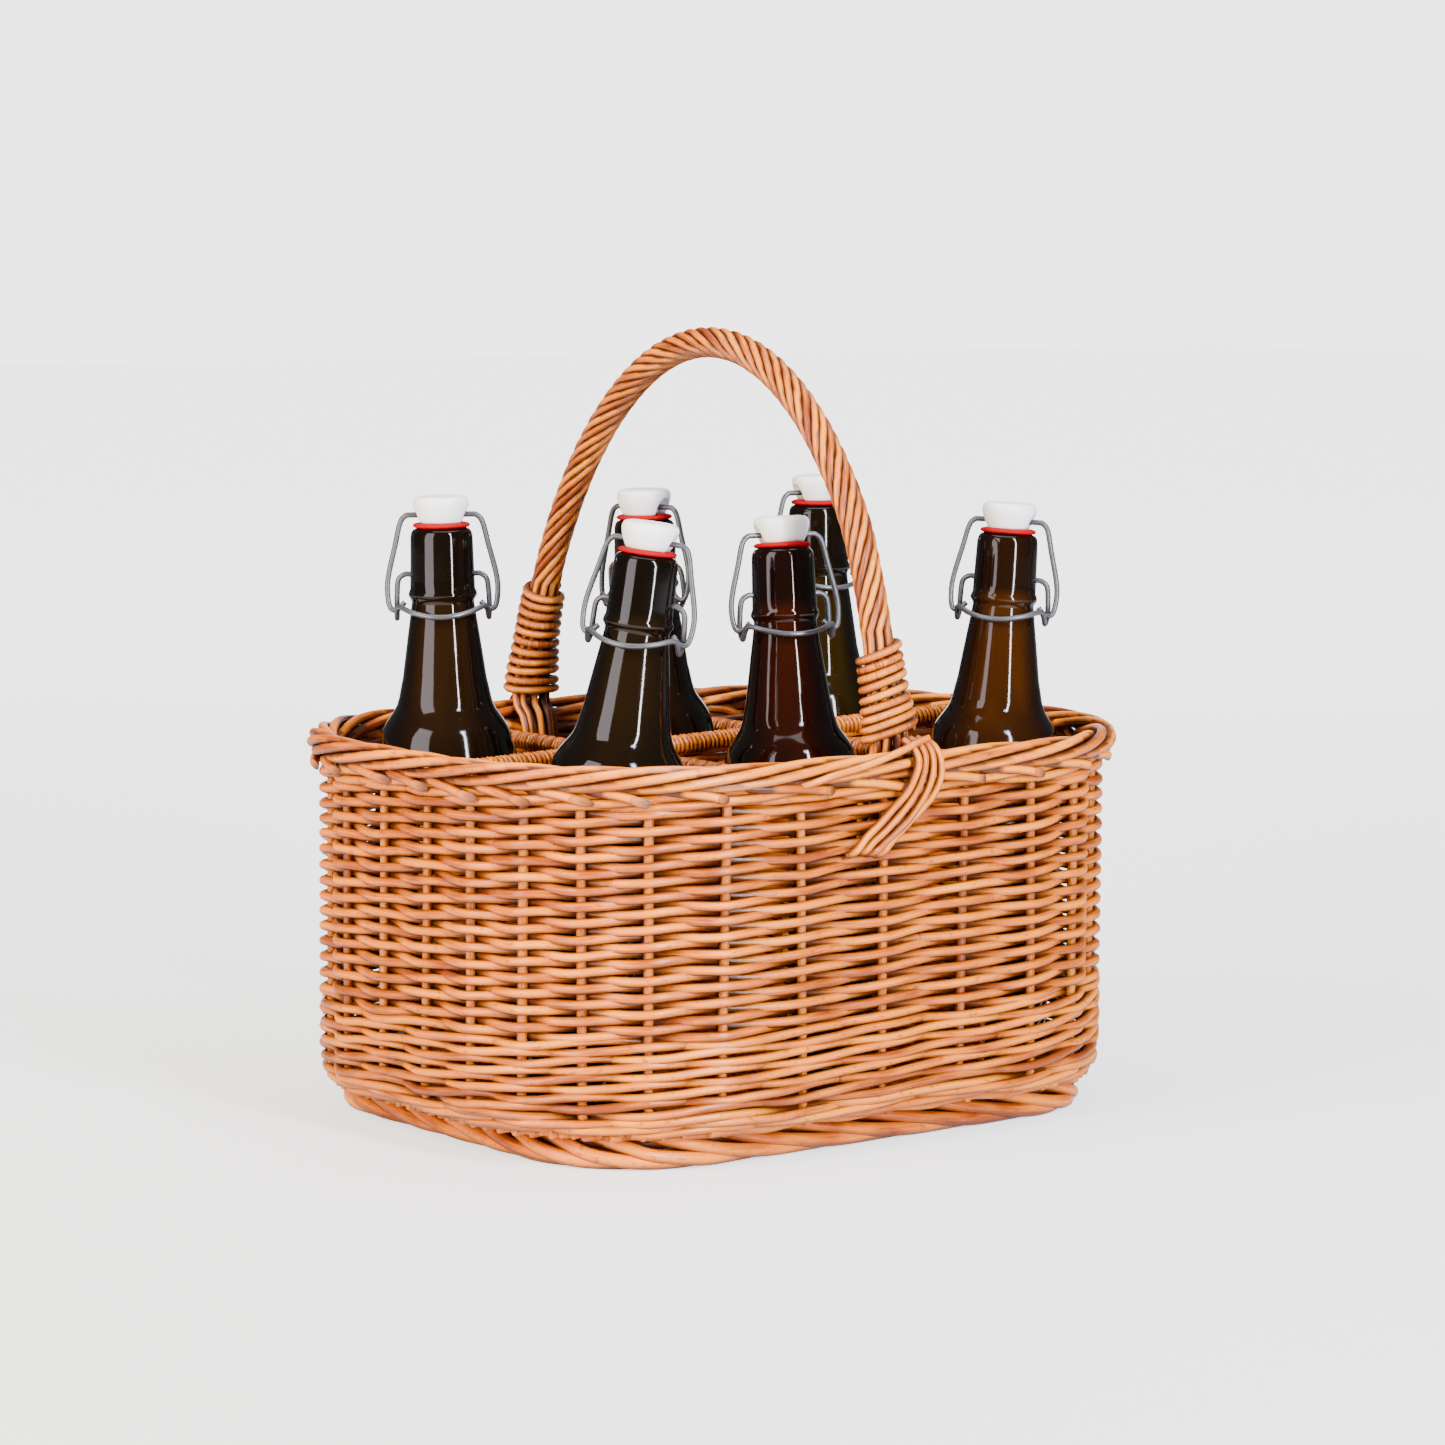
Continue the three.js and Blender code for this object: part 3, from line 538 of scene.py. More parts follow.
@made_once("node_groups")
def twist_tree(name):
    """Strands twisted round a centre line, within a half width across it and a half depth outwards, with
    painted shade in the valleys between strands, from Open At to Dark At, and on their undersides.
    """
    nodes = geometry_tree(name, (
        ("Strands", INT, 5), ("Turns", FLOAT, 5.0), ("Girth Variation", FLOAT, 0.3), ("Open At", FLOAT, 0.9),
        ("Dark At", FLOAT, 0.52), *SKIN_SIZES))
    start = nodes.start
    wires = {"Geometry": nodes.curves(), "Amount": start["Strands"]}
    copies = nodes.add("GeometryNodeDuplicateElements", wires, "Geometry", domain="SPLINE")
    share = copies.other("Duplicate Index") / start["Strands"]
    angle = (share + start["Turns"] * nodes.named("way")) * (2 * pi)
    across = nodes.scaled(nodes.direction("across"), nodes.calc("COSINE", angle))
    outward = nodes.scaled(nodes.direction("outward"), nodes.calc("SINE", angle))
    offset = nodes.vector("ADD", across, outward)
    own = nodes.calc("FRACT", nodes.named("rod") + share * 3.7)
    curve = nodes.store(nodes.moved(copies, offset), "rod", own)
    girth = own * start["Girth Variation"] + THINNEST_STRAND
    curve = nodes.store(curve, "thick", nodes.named("thick") * girth)
    # the painted shade in the valleys between strands turns from this direction out from the centre line
    curve = nodes.store(curve, "radial", nodes.vector("NORMALIZE", offset), VECTOR)
    return skinned(nodes, curve, ("radial", start["Open At"], start["Dark At"]))


def grow(tree, name, runs, radius, sides, unevenness, material, **inputs):
    """Runs a tree over the runs' lines and keeps the result as a plain mesh piece."""
    inputs.update({"Rod Radius": radius, "Sides": sides, "Unevenness": unevenness, "Material": material})
    lines = line_mesh("lines", runs)
    modifier = lines.modifiers.new("Build", "NODES")
    modifier.node_group = tree
    for item in tree.interface.items_tree:
        if item.in_out == "INPUT" and item.name in inputs:
            modifier[item.identifier] = inputs[item.name]
    depsgraph = bpy.context.evaluated_depsgraph_get()
    mesh = bpy.data.meshes.new_from_object(
        lines.evaluated_get(depsgraph), preserve_all_data_layers=True, depsgraph=depsgraph)
    if not mesh.polygons:
        raise RuntimeError(f"{name} came out empty")
    lines.modifiers.remove(modifier)
    bpy.data.objects.remove(lines)
    mesh.name = name
    return placed(name, mesh)


def plain_rods(*values):
    """Rods of one shade; the values are grow's from the name on."""
    return grow(rods_tree("Rods", ()), *values)


def shaded_rods(*values):
    """Rods with painted shade where they turn from their outward direction and on their undersides."""
    return grow(rods_tree("Shaded Rods", ("outward", 0.8, 0.25)), *values)


def twisted_rods(strands, turns, *values, **limits):
    """Strands twisted round a line."""
    return grow(twist_tree("Twist"), *values, Strands=strands, Turns=turns, **limits)


def joined(name, pieces):
    """One mesh piece out of several, which all sit at the origin."""
    for piece in bpy.context.selected_objects:
        piece.select_set(False)
    for piece in pieces:
        piece.select_set(True)
    bpy.context.view_layer.objects.active = pieces[0]
    bpy.ops.object.join()
    pieces[0].name = pieces[0].data.name = name
    return pieces[0]


def settle(piece, slot, *nodes):
    """Ties a finished piece to the carrier's body and hides the nodes it stands for. The slot is not used."""
    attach(piece, "root")
    if nodes:
        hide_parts(*nodes)


# ---- materials

# Tint, times the dark willow, that the painted shade in crevices and under rods goes towards
PAINTED_SHADE_TINT = (0.13, 0.11, 0.2, 1.0)


@made_once("node_groups")
def willow_grain(name):
    """Colour and relief of peeled willow: rod by rod, mottled along, streaked across, pale on a cut end, and
    darkened towards a painted shade tint as far as the piece's shade attribute.
    """
    nodes = new_group(name, "ShaderNodeTree", (
        *((label, COLOUR, None) for label in ("Light", "Middle", "Dark", "Cut")),
        ("Rod Variation", FLOAT, 0.5), ("Mottle", FLOAT, 2.1), ("Streaks", FLOAT, 0.8),
        # Depth is the strength of the painted shade
        ("Depth", FLOAT, 0.95),
    ), (("Color", COLOUR, None), ("Dullness", FLOAT, None), ("Relief", FLOAT, None)))
    start = nodes.start
    light, middle, dark, cut = (start[label] for label in ("Light", "Middle", "Dark", "Cut"))
    grain = nodes.marked("grain", "Vector")
    mottle = nodes.noise(grain, 3.0, stretch=(26.0, 120.0, 120.0))
    streak = nodes.noise(grain, 3.0, stretch=(55.0, 1500.0, 1500.0))
    tone = (nodes.marked("rod") - 0.5) * start["Rod Variation"] + (mottle - 0.5) * start["Mottle"]
    tone = tone + (streak - 0.5) * start["Streaks"] + 0.5
    color = nodes.mixed(nodes.remap(tone, 0.0, 0.5), dark, middle)
    color = nodes.mixed(nodes.remap(tone, 0.5, 1.0), color, light)
    across, over = nodes.axis(grain, 1), nodes.axis(grain, 2)
    from_pith = nodes.calc("SQRT", nodes.calc("POWER", across, 2.0) + nodes.calc("POWER", over, 2.0))
    pith = nodes.remap(from_pith, 0.0003, 0.0007, 0.4, 0.0)
    bark = nodes.remap(from_pith, 0.0016, 0.0022, 0.0, 0.7)
    color = nodes.mixed(nodes.marked("tip"), color, nodes.mixed(nodes.calc("MAXIMUM", pith, bark), cut, dark))
    speck = nodes.remap(nodes.noise(grain, 2.0, stretch=(260.0, 420.0, 420.0)), 0.63, 0.7, 0.0, 0.6)
    color = nodes.mixed(speck, color, dark)
    # painted shade: the colour goes towards the dark shade tint as far as the shade attribute, times Depth
    deep = nodes.mixed(1.0, dark, PAINTED_SHADE_TINT, "MULTIPLY")
    color = nodes.mixed(nodes.marked("shade") * start["Depth"], color, deep)
    return closed(nodes, Color=color, Dullness=nodes.remap(mottle, 0.3, 0.7, 0.25, 0.42),
                  Relief=streak * 0.6 + mottle * 0.8)


@made_once("node_groups")
def fine_mottle(name):
    """Slow and fine unevenness of a smooth surface, for its roughness and relief."""
    nodes = new_group(name, "ShaderNodeTree", (
        ("Slow Scale", FLOAT, 40.0), ("Fine Scale", FLOAT, 600.0), ("Low", FLOAT, 0.05),
        ("High", FLOAT, 0.12),
    ), (("Roughness", FLOAT, None), ("Relief", FLOAT, None)))
    start, place = nodes.start, nodes.object_place()
    slow = nodes.noise(place, 3.0, start["Slow Scale"])
    fine = nodes.noise(place, 2.0, start["Fine Scale"])
    rough = nodes.remap(slow, 0.35, 0.65, start["Low"], start["High"])
    return closed(nodes, Roughness=rough, Relief=slow + fine * 0.2)


def new_material(name):
    """A fresh node material; returns its nodes and its surface shader too."""
    material = bpy.data.materials.new(name)
    material.use_nodes = True
    return material, Nodes(material.node_tree), material.node_tree.nodes["Principled BSDF"]


@made_once("materials")
def willow_material(name, colours, shade, variation):
    """Peeled willow in the given shade."""
    material, nodes, shader = new_material(name)
    tones = {"Light": colours.willow_light, "Middle": colours.willow_middle, "Dark": colours.willow_dark,
             "Cut": colours.willow_cut}
    wires = {label: (*(shade * c for c in tone), 1.0) for label, tone in tones.items()}
    grain = nodes.add("ShaderNodeGroup", {**wires, "Rod Variation": variation},
                      node_tree=willow_grain("Willow Grain"))
    nodes.wire(shader, {"Base Color": grain, "Roughness": grain.other("Dullness"), "Specular IOR Level": 0.52,
                        "Normal": nodes.bump(grain.other("Relief"), 0.6, 0.0007)})
    return material


def mottled(nodes, low, high):
    return nodes.add("ShaderNodeGroup", {"Low": low, "High": high}, node_tree=fine_mottle("Fine Mottle"))


@made_once("materials")
def smooth_material(name, color, low, high, metallic=0.0, specular=0.5):
    """A smooth finish whose gloss varies a little over the surface."""
    material, nodes, shader = new_material(name)
    mottle = mottled(nodes, low, high)
    nodes.wire(shader, {"Base Color": (*color, 1.0), "Roughness": mottle, "Metallic": metallic,
                        "Specular IOR Level": specular,
                        "Normal": nodes.bump(mottle.other("Relief"), 0.08, 0.0005)})
    return material


@made_once("materials")
def ground_material(name, color, away):
    """Pale floor that glows towards the back, as a lit backdrop does."""
    material, nodes, shader = new_material(name)
    glow = nodes.remap(nodes.dot(nodes.object_place(), away), -0.6, 2.2, 1.1, 3.2)
    strength = nodes.remap(nodes.camera_ray(), 0.0, 1.0, 0.15, glow)
    nodes.wire(shader, {"Base Color": (*color, 1.0), "Roughness": 0.65, "Emission Color": (1, 1, 1, 1),
                        "Emission Strength": strength})
    return material


@made_once("materials")
def glass_material(name, deep):
    """Dark amber glass full of drink: nearly black, with the brown of light coming through the neck painted
    into its colour, most where the neck faces the viewer.
    """
    material, nodes, shader = new_material(name)
    place = nodes.object_place()
    height = nodes.axis(place, 2)
    neck = nodes.remap(height, 0.165, 0.205, 0.3, 1.0) * nodes.remap(height, 0.244, 0.25, 1.0, 0.22)
    facing = nodes.add("ShaderNodeLayerWeight", {"Blend": 0.5}, "Facing")
    middle = nodes.remap(facing, 0.75, 0.15)
    streak = nodes.noise(place, 2.0, stretch=(90.0, 90.0, 8.0))
    # painted light: the brown glow in the middle of the neck, as light shining through would give
    painted_glow = neck * (middle * middle) * (streak + 0.5)
    mottle = mottled(nodes, 0.04, 0.09)
    nodes.wire(shader, {"Base Color": nodes.mixed(painted_glow, (*deep, 1.0), nodes.marked("glow", "Color")),
                        "Roughness": mottle, "IOR": 1.5, "Specular IOR Level": 0.33,
                        "Normal": nodes.bump(mottle.other("Relief"), 0.06, 0.0006)})
    return material


# ---- sizes and colours

def number(name, description, default):
    return FloatProperty(name=name, description=description, default=default, min=1.0)


def length(name, description, default):
    return FloatProperty(
        name=name, description=description, default=default, min=0.0, unit="LENGTH", precision=5)


def colour(name, description, default):
    return FloatVectorProperty(
        name=name, description=description, default=default, subtype="COLOR", size=3, min=0.0, max=1.0)


class CarrierSizes(bpy.types.PropertyGroup):
    """Rod sizes and counts of the basket and its closures."""

    weaver_radius: length("Weaver Radius", "Radius of the rods woven round the side", 0.00232)
    weaver_sway: length("Weaver Sway", "How far a weaver goes to either side of the stakes", 0.0039)
    stake_radius: length("Stake Radius", "Radius of the upright stakes", 0.0023)
    stake_depth: length("Stake Depth", "Depth of the stakes behind the wall's outer face", 0.0058)
    side_turns: number("Side Turns", "Rounds of weaving in the side", 28.5)
    wale_turns: number("Wale Turns", "Rounds of the lower wale and the base wale together", 15.0)
    wale_radius: length("Wale Radius", "Radius of the wales' rods", 0.0022)
    rim_radius: length("Rim Rod Radius", "Radius of the rim border's rods", 0.00235)
    foot_radius: length("Foot Rod Radius", "Radius of the foot border's rods", 0.0034)
    handle_strands: IntProperty(name="Handle Strands", description="Strands in the handle", default=9, min=3)
    handle_pitch: length("Handle Pitch", "Length of one turn of the handle's strands", 0.078)
    strand_radius: length("Strand Radius", "Radius of the handle's strands", 0.00195)
    wrap_turns: number("Wrap Turns", "Turns of the binding round the near leg", 9.0)
    wrap_radius: length("Wrap Radius", "Radius of the binding's rod", 0.0021)
    strip_radius: length("Strip Radius", "Half width of the strips round the dividers' bars", 0.00128)
    wire_radius: length("Wire Radius", "Radius of the closures' wires", 0.00132)


class CarrierColours(bpy.types.PropertyGroup):
    """Colours of the willow, glass and closures."""

    willow_light: colour("Light Willow", "Palest willow", (0.98, 0.283, 0.012))
    willow_middle: colour("Willow", "Most of the willow", (0.80, 0.191, 0.0065))
    willow_dark: colour("Dark Willow", "Darkest willow", (0.3, 0.05, 0.002))
    willow_cut: colour("Cut Willow", "Cut ends of the rods", (0.68, 0.19, 0.022))
    glass_deep: colour("Deep Glass", "Amber glass seen squarely", (0.0012, 0.0007, 0.0005))
    # colour of the painted glow of light through the glass
    glass_glow: colour("Glass Glow", "Amber glass where light comes through", (0.034, 0.0085, 0.0008))
    stopper: colour("Stopper", "White stopper", (0.9, 0.885, 0.89))
    gasket: colour("Gasket", "Red rubber gasket", (0.31, 0.0003, 0.004))
    steel: colour("Steel", "Wire of the closures", (0.105, 0.108, 0.12))
    ground: colour("Ground", "Floor that the carrier stands on", (0.6, 0.6, 0.6))


def chosen(context):
    return context.scene.carrier_sizes, context.scene.carrier_colours


# ---- the basket

class CARRIER_OT_foot_border(bpy.types.Operator):
    """Lay the rods of the foot border, each from behind a stake down to the ground"""

    bl_idname = "carrier.foot_border"
    bl_label = "Foot Border"

    def execute(self, context):
        sizes, colours = chosen(context)
        rng = random.Random(31)
        runs = []
        for stake in range(STAKES):
            points = smooth([
                beside(FOOT_LINE, stake_share(stake + ahead + rng.uniform(-0.06, 0.06)), out, z)[0]
                for ahead, out, z in FOOT_ROUTE], 5)
            run = rod_run(points, rng.random(), taper=0.25)
            shares = spread(0, 1, len(points) - 1)
            run["thick"] = [t * (1.0 - max(0.0, at - 0.8) * 3.4) for at, t in zip(shares, run["thick"])]
            # directions that the foot rods' painted shade turns from
            outward = outline_at(FOOT_LINE, stake_share(stake + 1.2))[1] + Vector((0, 0, 0.3))
            run["outward"] = [outward.normalized()] * len(points)
            runs.append(run)
        for out, z in FOOT_RINGS:
            points, outward = zip(*(beside(FOOT_LINE, share, out, z) for share in spread(0, 1, 160)))
            runs.append({**rod_run(points, 0.1), "outward": [-v for v in outward]})
        material = willow_material("Foot Willow", colours, 0.98, 0.6)
        piece = shaded_rods("foot_rods", runs, sizes.foot_radius, 10, 0.06, material)
        settle(piece, "willow", "foot_border")
        return {"FINISHED"}


def weave(node, name, low, high, turns, radius, material, seed, near_side_lift=0.0, **inputs):
    """Weaves a band of the wall on a climbing line, made of rods that follow each other."""
    rng = random.Random(seed)
    steps = round(turns * STAKES * STEPS_PER_STAKE)
    run = {key: [] for key in ("points", "outward", "stake", "lift", "thick", "rod")}
    left, tone, girth = 0, 0.5, 1.0
    for i, z in enumerate(spread(low, high, steps)):
        if left <= 0:
            left = rng.randint(18, 44) * STEPS_PER_STAKE
            tone, girth = rng.random(), rng.uniform(0.86, 1.1)
        left -= 1
        if left % (3 * STEPS_PER_STAKE) == 0:
            girth = clamp(girth + rng.uniform(-0.05, 0.05), 0.84, 1.12)
        stake = SPIRAL_START + i / STEPS_PER_STAKE
        point, outward = wall_point(stake, z, 0.0)
        lift = 1.0 + near_side_lift * clamp((-outward.y - 0.7) / 0.25)
        thick = girth * (0.3 + 0.7 * min(i, steps - i, 12) / 12)
        for key, value in zip(run, (point, outward, stake, lift, thick, tone)):
            run[key].append(value)
    piece = grow(woven_tree("Weavers"), name, [run], radius, 8, 0.1, material, Seed=float(seed), **inputs)
    settle(piece, "willow", node)


class CARRIER_OT_wales(bpy.types.Operator):
    """Weave the base wale and the lower and upper wale, in front of two stakes and behind one"""

    bl_idname = "carrier.wales"
    bl_label = "Wales"

    def execute(self, context):
        sizes, colours = chosen(context)
        material = willow_material("Wale Willow", colours, 0.94, 0.8)
        radius, turns = sizes.wale_radius, sizes.wale_turns
        bands = (
            ("base_wale", FOOT_TOP + radius / MM, BELLY_Z - 0.6, 0.28 * turns, -0.0007, 3),
            ("lower_wale", BELLY_Z + 0.6, LOWER_WALE_TOP + 0.4, 0.75 * turns + 0.8, -0.0017, 5),
            ("upper_wale", SIDE_TOP - 0.6, UPPER_WALE_TOP - 0.4, 3.9, -0.0014, 6),
        )
        for node, low, high, turns, slope, seed in bands:
            weave(node, f"{node}_rods", low, high, turns, radius, material, seed, **{
                "Stroke": 3.0, "Stake Depth": sizes.stake_depth, "Sway": 0.0034, "Front Turn": -0.35,
                "Slope": slope, "Swell": 0.08})
        return {"FINISHED"}


class CARRIER_OT_side(bpy.types.Operator):
    """Set up the stakes and weave the side, in front of every other stake"""

    bl_idname = "carrier.side"
    bl_label = "Side"

    def execute(self, context):
        sizes, colours = chosen(context)
        material = willow_material("Side Willow", colours, 1.0, 0.55)
        weave("side_weave", "side_rods", LOWER_WALE_TOP, SIDE_TOP, sizes.side_turns, sizes.weaver_radius,
              material, 8, near_side_lift=0.5, **{
                  "Stroke": 2.0, "Stake Depth": sizes.stake_depth, "Sway": sizes.weaver_sway,
                  "Front Turn": -1.0, "Slope": -0.0005, "Swell": 0.13, "Wander": 0.0046})
        rng = random.Random(12)
        runs = []
        for stake in range(STAKES):
            lean = rng.uniform(-0.03, 0.03)
            points = [wall_point(stake + lean * (z - 100) / 60, z, sizes.stake_depth / MM)[0]
                      for z in STAKE_HEIGHTS]
            runs.append(rod_run(points, rng.random()))
        dark = willow_material("Stake Willow", colours, 0.8, 0.5)
        settle(plain_rods("stakes", runs, sizes.stake_radius, 8, 0.05, dark), "willow")
        return {"FINISHED"}


class CARRIER_OT_rim_border(bpy.types.Operator):
    """Turn each stake down into the rim border, with its cut end below"""

    bl_idname = "carrier.rim_border"
    bl_label = "Rim Border"

    def execute(self, context):
        sizes, colours = chosen(context)
        rng = random.Random(4)
        middle = (RIM_TOP + UPPER_WALE_TOP) / 2
        radius = sizes.rim_radius / MM
        wide, high = RIM_HALF_WIDTH - radius, (RIM_TOP - UPPER_WALE_TOP) / 2 - radius
        bends = []
        for step in range(14):
            ahead = 0.55 + step * 0.33
            angle = radians(72 * ahead - 130)
            bends.append((ahead, wide * cos(angle), high * sin(angle)))
        runs = []
        for stake in range(STAKES):
            drop, reach = rng.uniform(-0.6, 1.6), rng.uniform(-0.14, 0.2)
            route = (*RIM_RISE, *bends, (5.1, -1.6, -4.9), (5.45, 1.2, -5.9),
                     (5.75 + reach / 2, 2.8, -7.5 + drop * 0.5), (6.02 + reach, 3.7, -9.9 + drop))
            shift = rng.uniform(-0.1, 0.12)
            line, outward = [], []
            for ahead, out, up in route:
                share = stake_share(stake + ahead + (shift if ahead > 0.3 else 0))
                point, normal = beside(RIM_LINE, share, out + rng.uniform(-0.25, 0.25), middle + up)
                line.append(point)
                lift = up if 0.3 < ahead < 5.1 else 0.0
                # the direction each point faces, for its painted shade and the slant of its cut end
                outward.append((normal * max(out, -1.0) + Vector((0, 0, lift))).normalized())
            points = smooth(line, 4)
            facing = [outward[min(i // 4, len(outward) - 1)] for i in range(len(points))]
            facing[-1] = outline_at(RIM_LINE, stake_share(stake + 6.02 + shift))[1]
            tone = rng.random()
            runs.append(rod_run(points, tone, taper=-0.04, facing=facing, slant=rng.uniform(1.4, 2.5)))
        material = willow_material("Rim Willow", colours, 1.04, 0.8)
        piece = shaded_rods("rim_rods", runs, sizes.rim_radius, 10, 0.06, material)
        settle(piece, "willow", "rim_border")
        return {"FINISHED"}


class CARRIER_OT_floor(bpy.types.Operator):
    """Weave the basket's floor over its cross sticks"""

    bl_idname = "carrier.floor"
    bl_label = "Floor"

    def execute(self, context):
        colours = chosen(context)[1]
        rng = random.Random(77)
        x, y, r = FLOOR
        middle = (FOOT_TOP + FLOOR_TOP) / 2 - 0.4

        def half_length(across, limit, other):
            past = max(0.0, abs(across) - (other - r))
            return limit - r + sqrt(max(0.0, r * r - past * past)) - 1.0

        runs = []
        for row, at in enumerate(spread(3 - y, y - 3, int(2 * (y - 3) / FLOOR_ROW))):
            reach = half_length(at, x, y)
            line = [Vector((along, at, middle + 0.9 * cos(pi * (along / FLOOR_STICK_GAP + row))))
                    for along in spread(-reach, reach, max(8, int(2 * reach / 6)))]
            runs.append(rod_run(line, rng.random()))
        for stick in range(-6, 7):
            at = stick * FLOOR_STICK_GAP
            reach = half_length(at, y, x)
            line = [Vector((at, along, middle)) for along in spread(-reach, reach, 12)]
            runs.append(rod_run(line, rng.random()))
        material = willow_material("Floor Willow", colours, 0.75, 0.5)
        piece = plain_rods("floor_rods", runs, FLOOR_ROD * MM, 6, 0.05, material)
        settle(piece, "dark_willow", "floor_weave")
        return {"FINISHED"}


def divider_rods(name, start, end, top, rise, place, strip_radius, material, seed):
    """A woven panel between two distances along its own line, with a bar on top wound with strips."""
    rng = random.Random(seed)
    low, high = FLOOR_TOP + 2.4, top - 9
    runs = []
    for row, z in enumerate(spread(low, high, int((high - low) / PANEL_ROW))):
        inset = max(0.0, (30 - z) * 1.6)
        first, last = start + (inset if start < 0 else 0), end - inset
        runs.append(rod_run([
            place @ Vector((along, PANEL_SWAY * cos(pi * (along / PANEL_STICK_GAP + row)),
                            z + rise * along * z / top))
            for along in spread(first, last, max(4, int((last - first) / 4.75)))], rng.random()))
    panel = plain_rods("panel", runs, 0.0019, 6, 0.07, material)
    turns = (end - start) / (2.05 * strip_radius / MM)
    steps = int(turns * 9)
    reach = BAR_HALF - strip_radius / MM
    side = (place.to_3x3() @ Vector((0, 1, 0))) * reach
    points = [place @ Vector((along, 0, top - 5 + rise * along)) for along in spread(start, end, steps)]
    run = twist_run(points, [side] * (steps + 1), [Vector((0, 0, reach))] * (steps + 1), spread(0, 1, steps),
                    rng.random())
    strip = twisted_rods(1, turns, "strip", [run], strip_radius, 5, 0.05, material)
    core = rod_run([points[0], points[len(points) // 2], points[-1]], 0.3)
    return joined(name, [panel, strip, plain_rods("bar", [core], reach * MM, 10, 0.0, material)])


class CARRIER_OT_dividers(bpy.types.Operator):
    """Weave the long divider and the short ones, each under a wound bar"""

    bl_idname = "carrier.dividers"
    bl_label = "Dividers"

    def execute(self, context):
        sizes, colours = chosen(context)
        material = willow_material("Divider Willow", colours, 0.85, 0.5)
        long_end, cross_end = WALL[0] - DIVIDER_TO_WALL, WALL[1] - DIVIDER_TO_WALL
        piece = divider_rods("long_divider_rods", -long_end, long_end, DIVIDER_TOP, DIVIDER_RISE,
                             Matrix.Identity(4), sizes.strip_radius, material, 21)
        settle(piece, "dark_willow", "divider_long")
        for end, x in (("left", -CROSS_DIVIDER_X), ("right", CROSS_DIVIDER_X)):
            for way, side in (("front", -1), ("back", 1)):
                node = f"divider_{end}_{way}"
                place = Matrix.Translation((x, 0, 0)) @ Matrix.Rotation(side * pi / 2, 4, "Z")
                piece = divider_rods(f"{node}_rods", CROSS_DIVIDER_START, cross_end, CROSS_DIVIDER_TOP, 0.0,
                                     place, sizes.strip_radius, material, 22 + side)
                settle(piece, "dark_willow", node)
        return {"FINISHED"}


# ---- the handle

HANDLE_PLACE = Matrix.Translation((HANDLE_X, 0, 0)) @ Matrix.Rotation(radians(HANDLE_TURN), 4, "Z")


def arch_point(angle):
    """Centre of the arch in the handle's own plane: distance from the middle and height."""
    up = sin(angle)
    near_leg = min(1.0, up / NEAR_LEG_SHARE) if angle < pi / 2 else 1.0
    inwards = NEAR_LEG_INWARDS * sin(pi * near_leg)
    s = (HANDLE_HALF - HANDLE_PINCH * up) * -cos(angle) + HANDLE_LEAN * up + inwards
    return s, HANDLE_SPRING + (HANDLE_TOP - HANDLE_SPRING) * up


def wrap_top(point):
    """Height of the top of the binding on the point's side of the carrier."""
    return WRAP_TOP[-1 if point.y < 0 else 1]


def handle_girth(point):
    """Half width and half depth of the handle at a point: round above, flat at the border."""
    z, top = point.z, wrap_top(point)
    flat = clamp((top - z) / (top - HANDLE_SPRING))
    low = clamp((HANDLE_SPRING - z) / (HANDLE_SPRING - LEG_END))
    width = HANDLE_HALF_WIDTH + (11.4 - HANDLE_HALF_WIDTH) * flat
    depth = HANDLE_HALF_WIDTH + (5.0 - HANDLE_HALF_WIDTH) * flat
    return width + (9.5 - width) * low, depth + (3.0 - depth) * min(1.0, 4 * low)


def handle_line():
    """Points of the handle's centre line from the near leg's end to the far one's, with the direction across,
    the directions outwards and the lengths so far."""
    line = [(inwards - HANDLE_HALF, z) for inwards, z in LEG_ROUTE]
    line += [arch_point(pi * i / 16) for i in range(17)]
    line += [(HANDLE_HALF - inwards, z) for inwards, z in reversed(LEG_ROUTE)]
    points = smooth([HANDLE_PLACE @ Vector((0, s, z)) for s, z in line], HANDLE_SMOOTHING)
    across = HANDLE_PLACE.to_3x3() @ Vector((1, 0, 0))
    outward, lengths = [], [0.0]
    for i, point in enumerate(points):
        tangent = (points[min(i + 1, len(points) - 1)] - points[max(i - 1, 0)]).normalized()
        outward.append(tangent.cross(across).normalized())
        if i:
            lengths.append(lengths[-1] + (point - points[i - 1]).length)
    return points, across, outward, lengths


class CARRIER_OT_handle(bpy.types.Operator):
    """Twist the strands of the arched handle round its core"""

    bl_idname = "carrier.handle"
    bl_label = "Handle"

    def execute(self, context):
        sizes, colours = chosen(context)
        material = willow_material("Handle Willow", colours, 0.84, 1.1)
        points, across, outward, lengths = handle_line()
        strand = sizes.strand_radius / MM
        girths = [handle_girth(point) for point in points]
        wide = [(half_width - strand) * across for half_width, _ in girths]
        deep = [max(0.6, half_depth - strand) * out for (_, half_depth), out in zip(girths, outward)]
        free = [i for i, p in enumerate(points) if p.z > wrap_top(p)]
        bottom, top = lengths[free[0]], lengths[free[-1]]
        ways = [(clamp(length, bottom, top) - bottom) / (sizes.handle_pitch / MM) for length in lengths]
        # the strands' painted shade runs from Open At to Dark At in the valleys between them
        strands = twisted_rods(sizes.handle_strands, 1.0, "strands", [twist_run(points, wide, deep, ways)],
                               sizes.strand_radius, 9, 0.06, material, **{"Open At": 0.82, "Dark At": 0.62})
        core = rod_run([p for p in points if p.z > HANDLE_SPRING], 0.2)
        filler = plain_rods("core", [core], 0.0038, 8, 0.02, material)
        settle(joined("handle_rods", [strands, filler]), "willow", "handle")
        return {"FINISHED"}


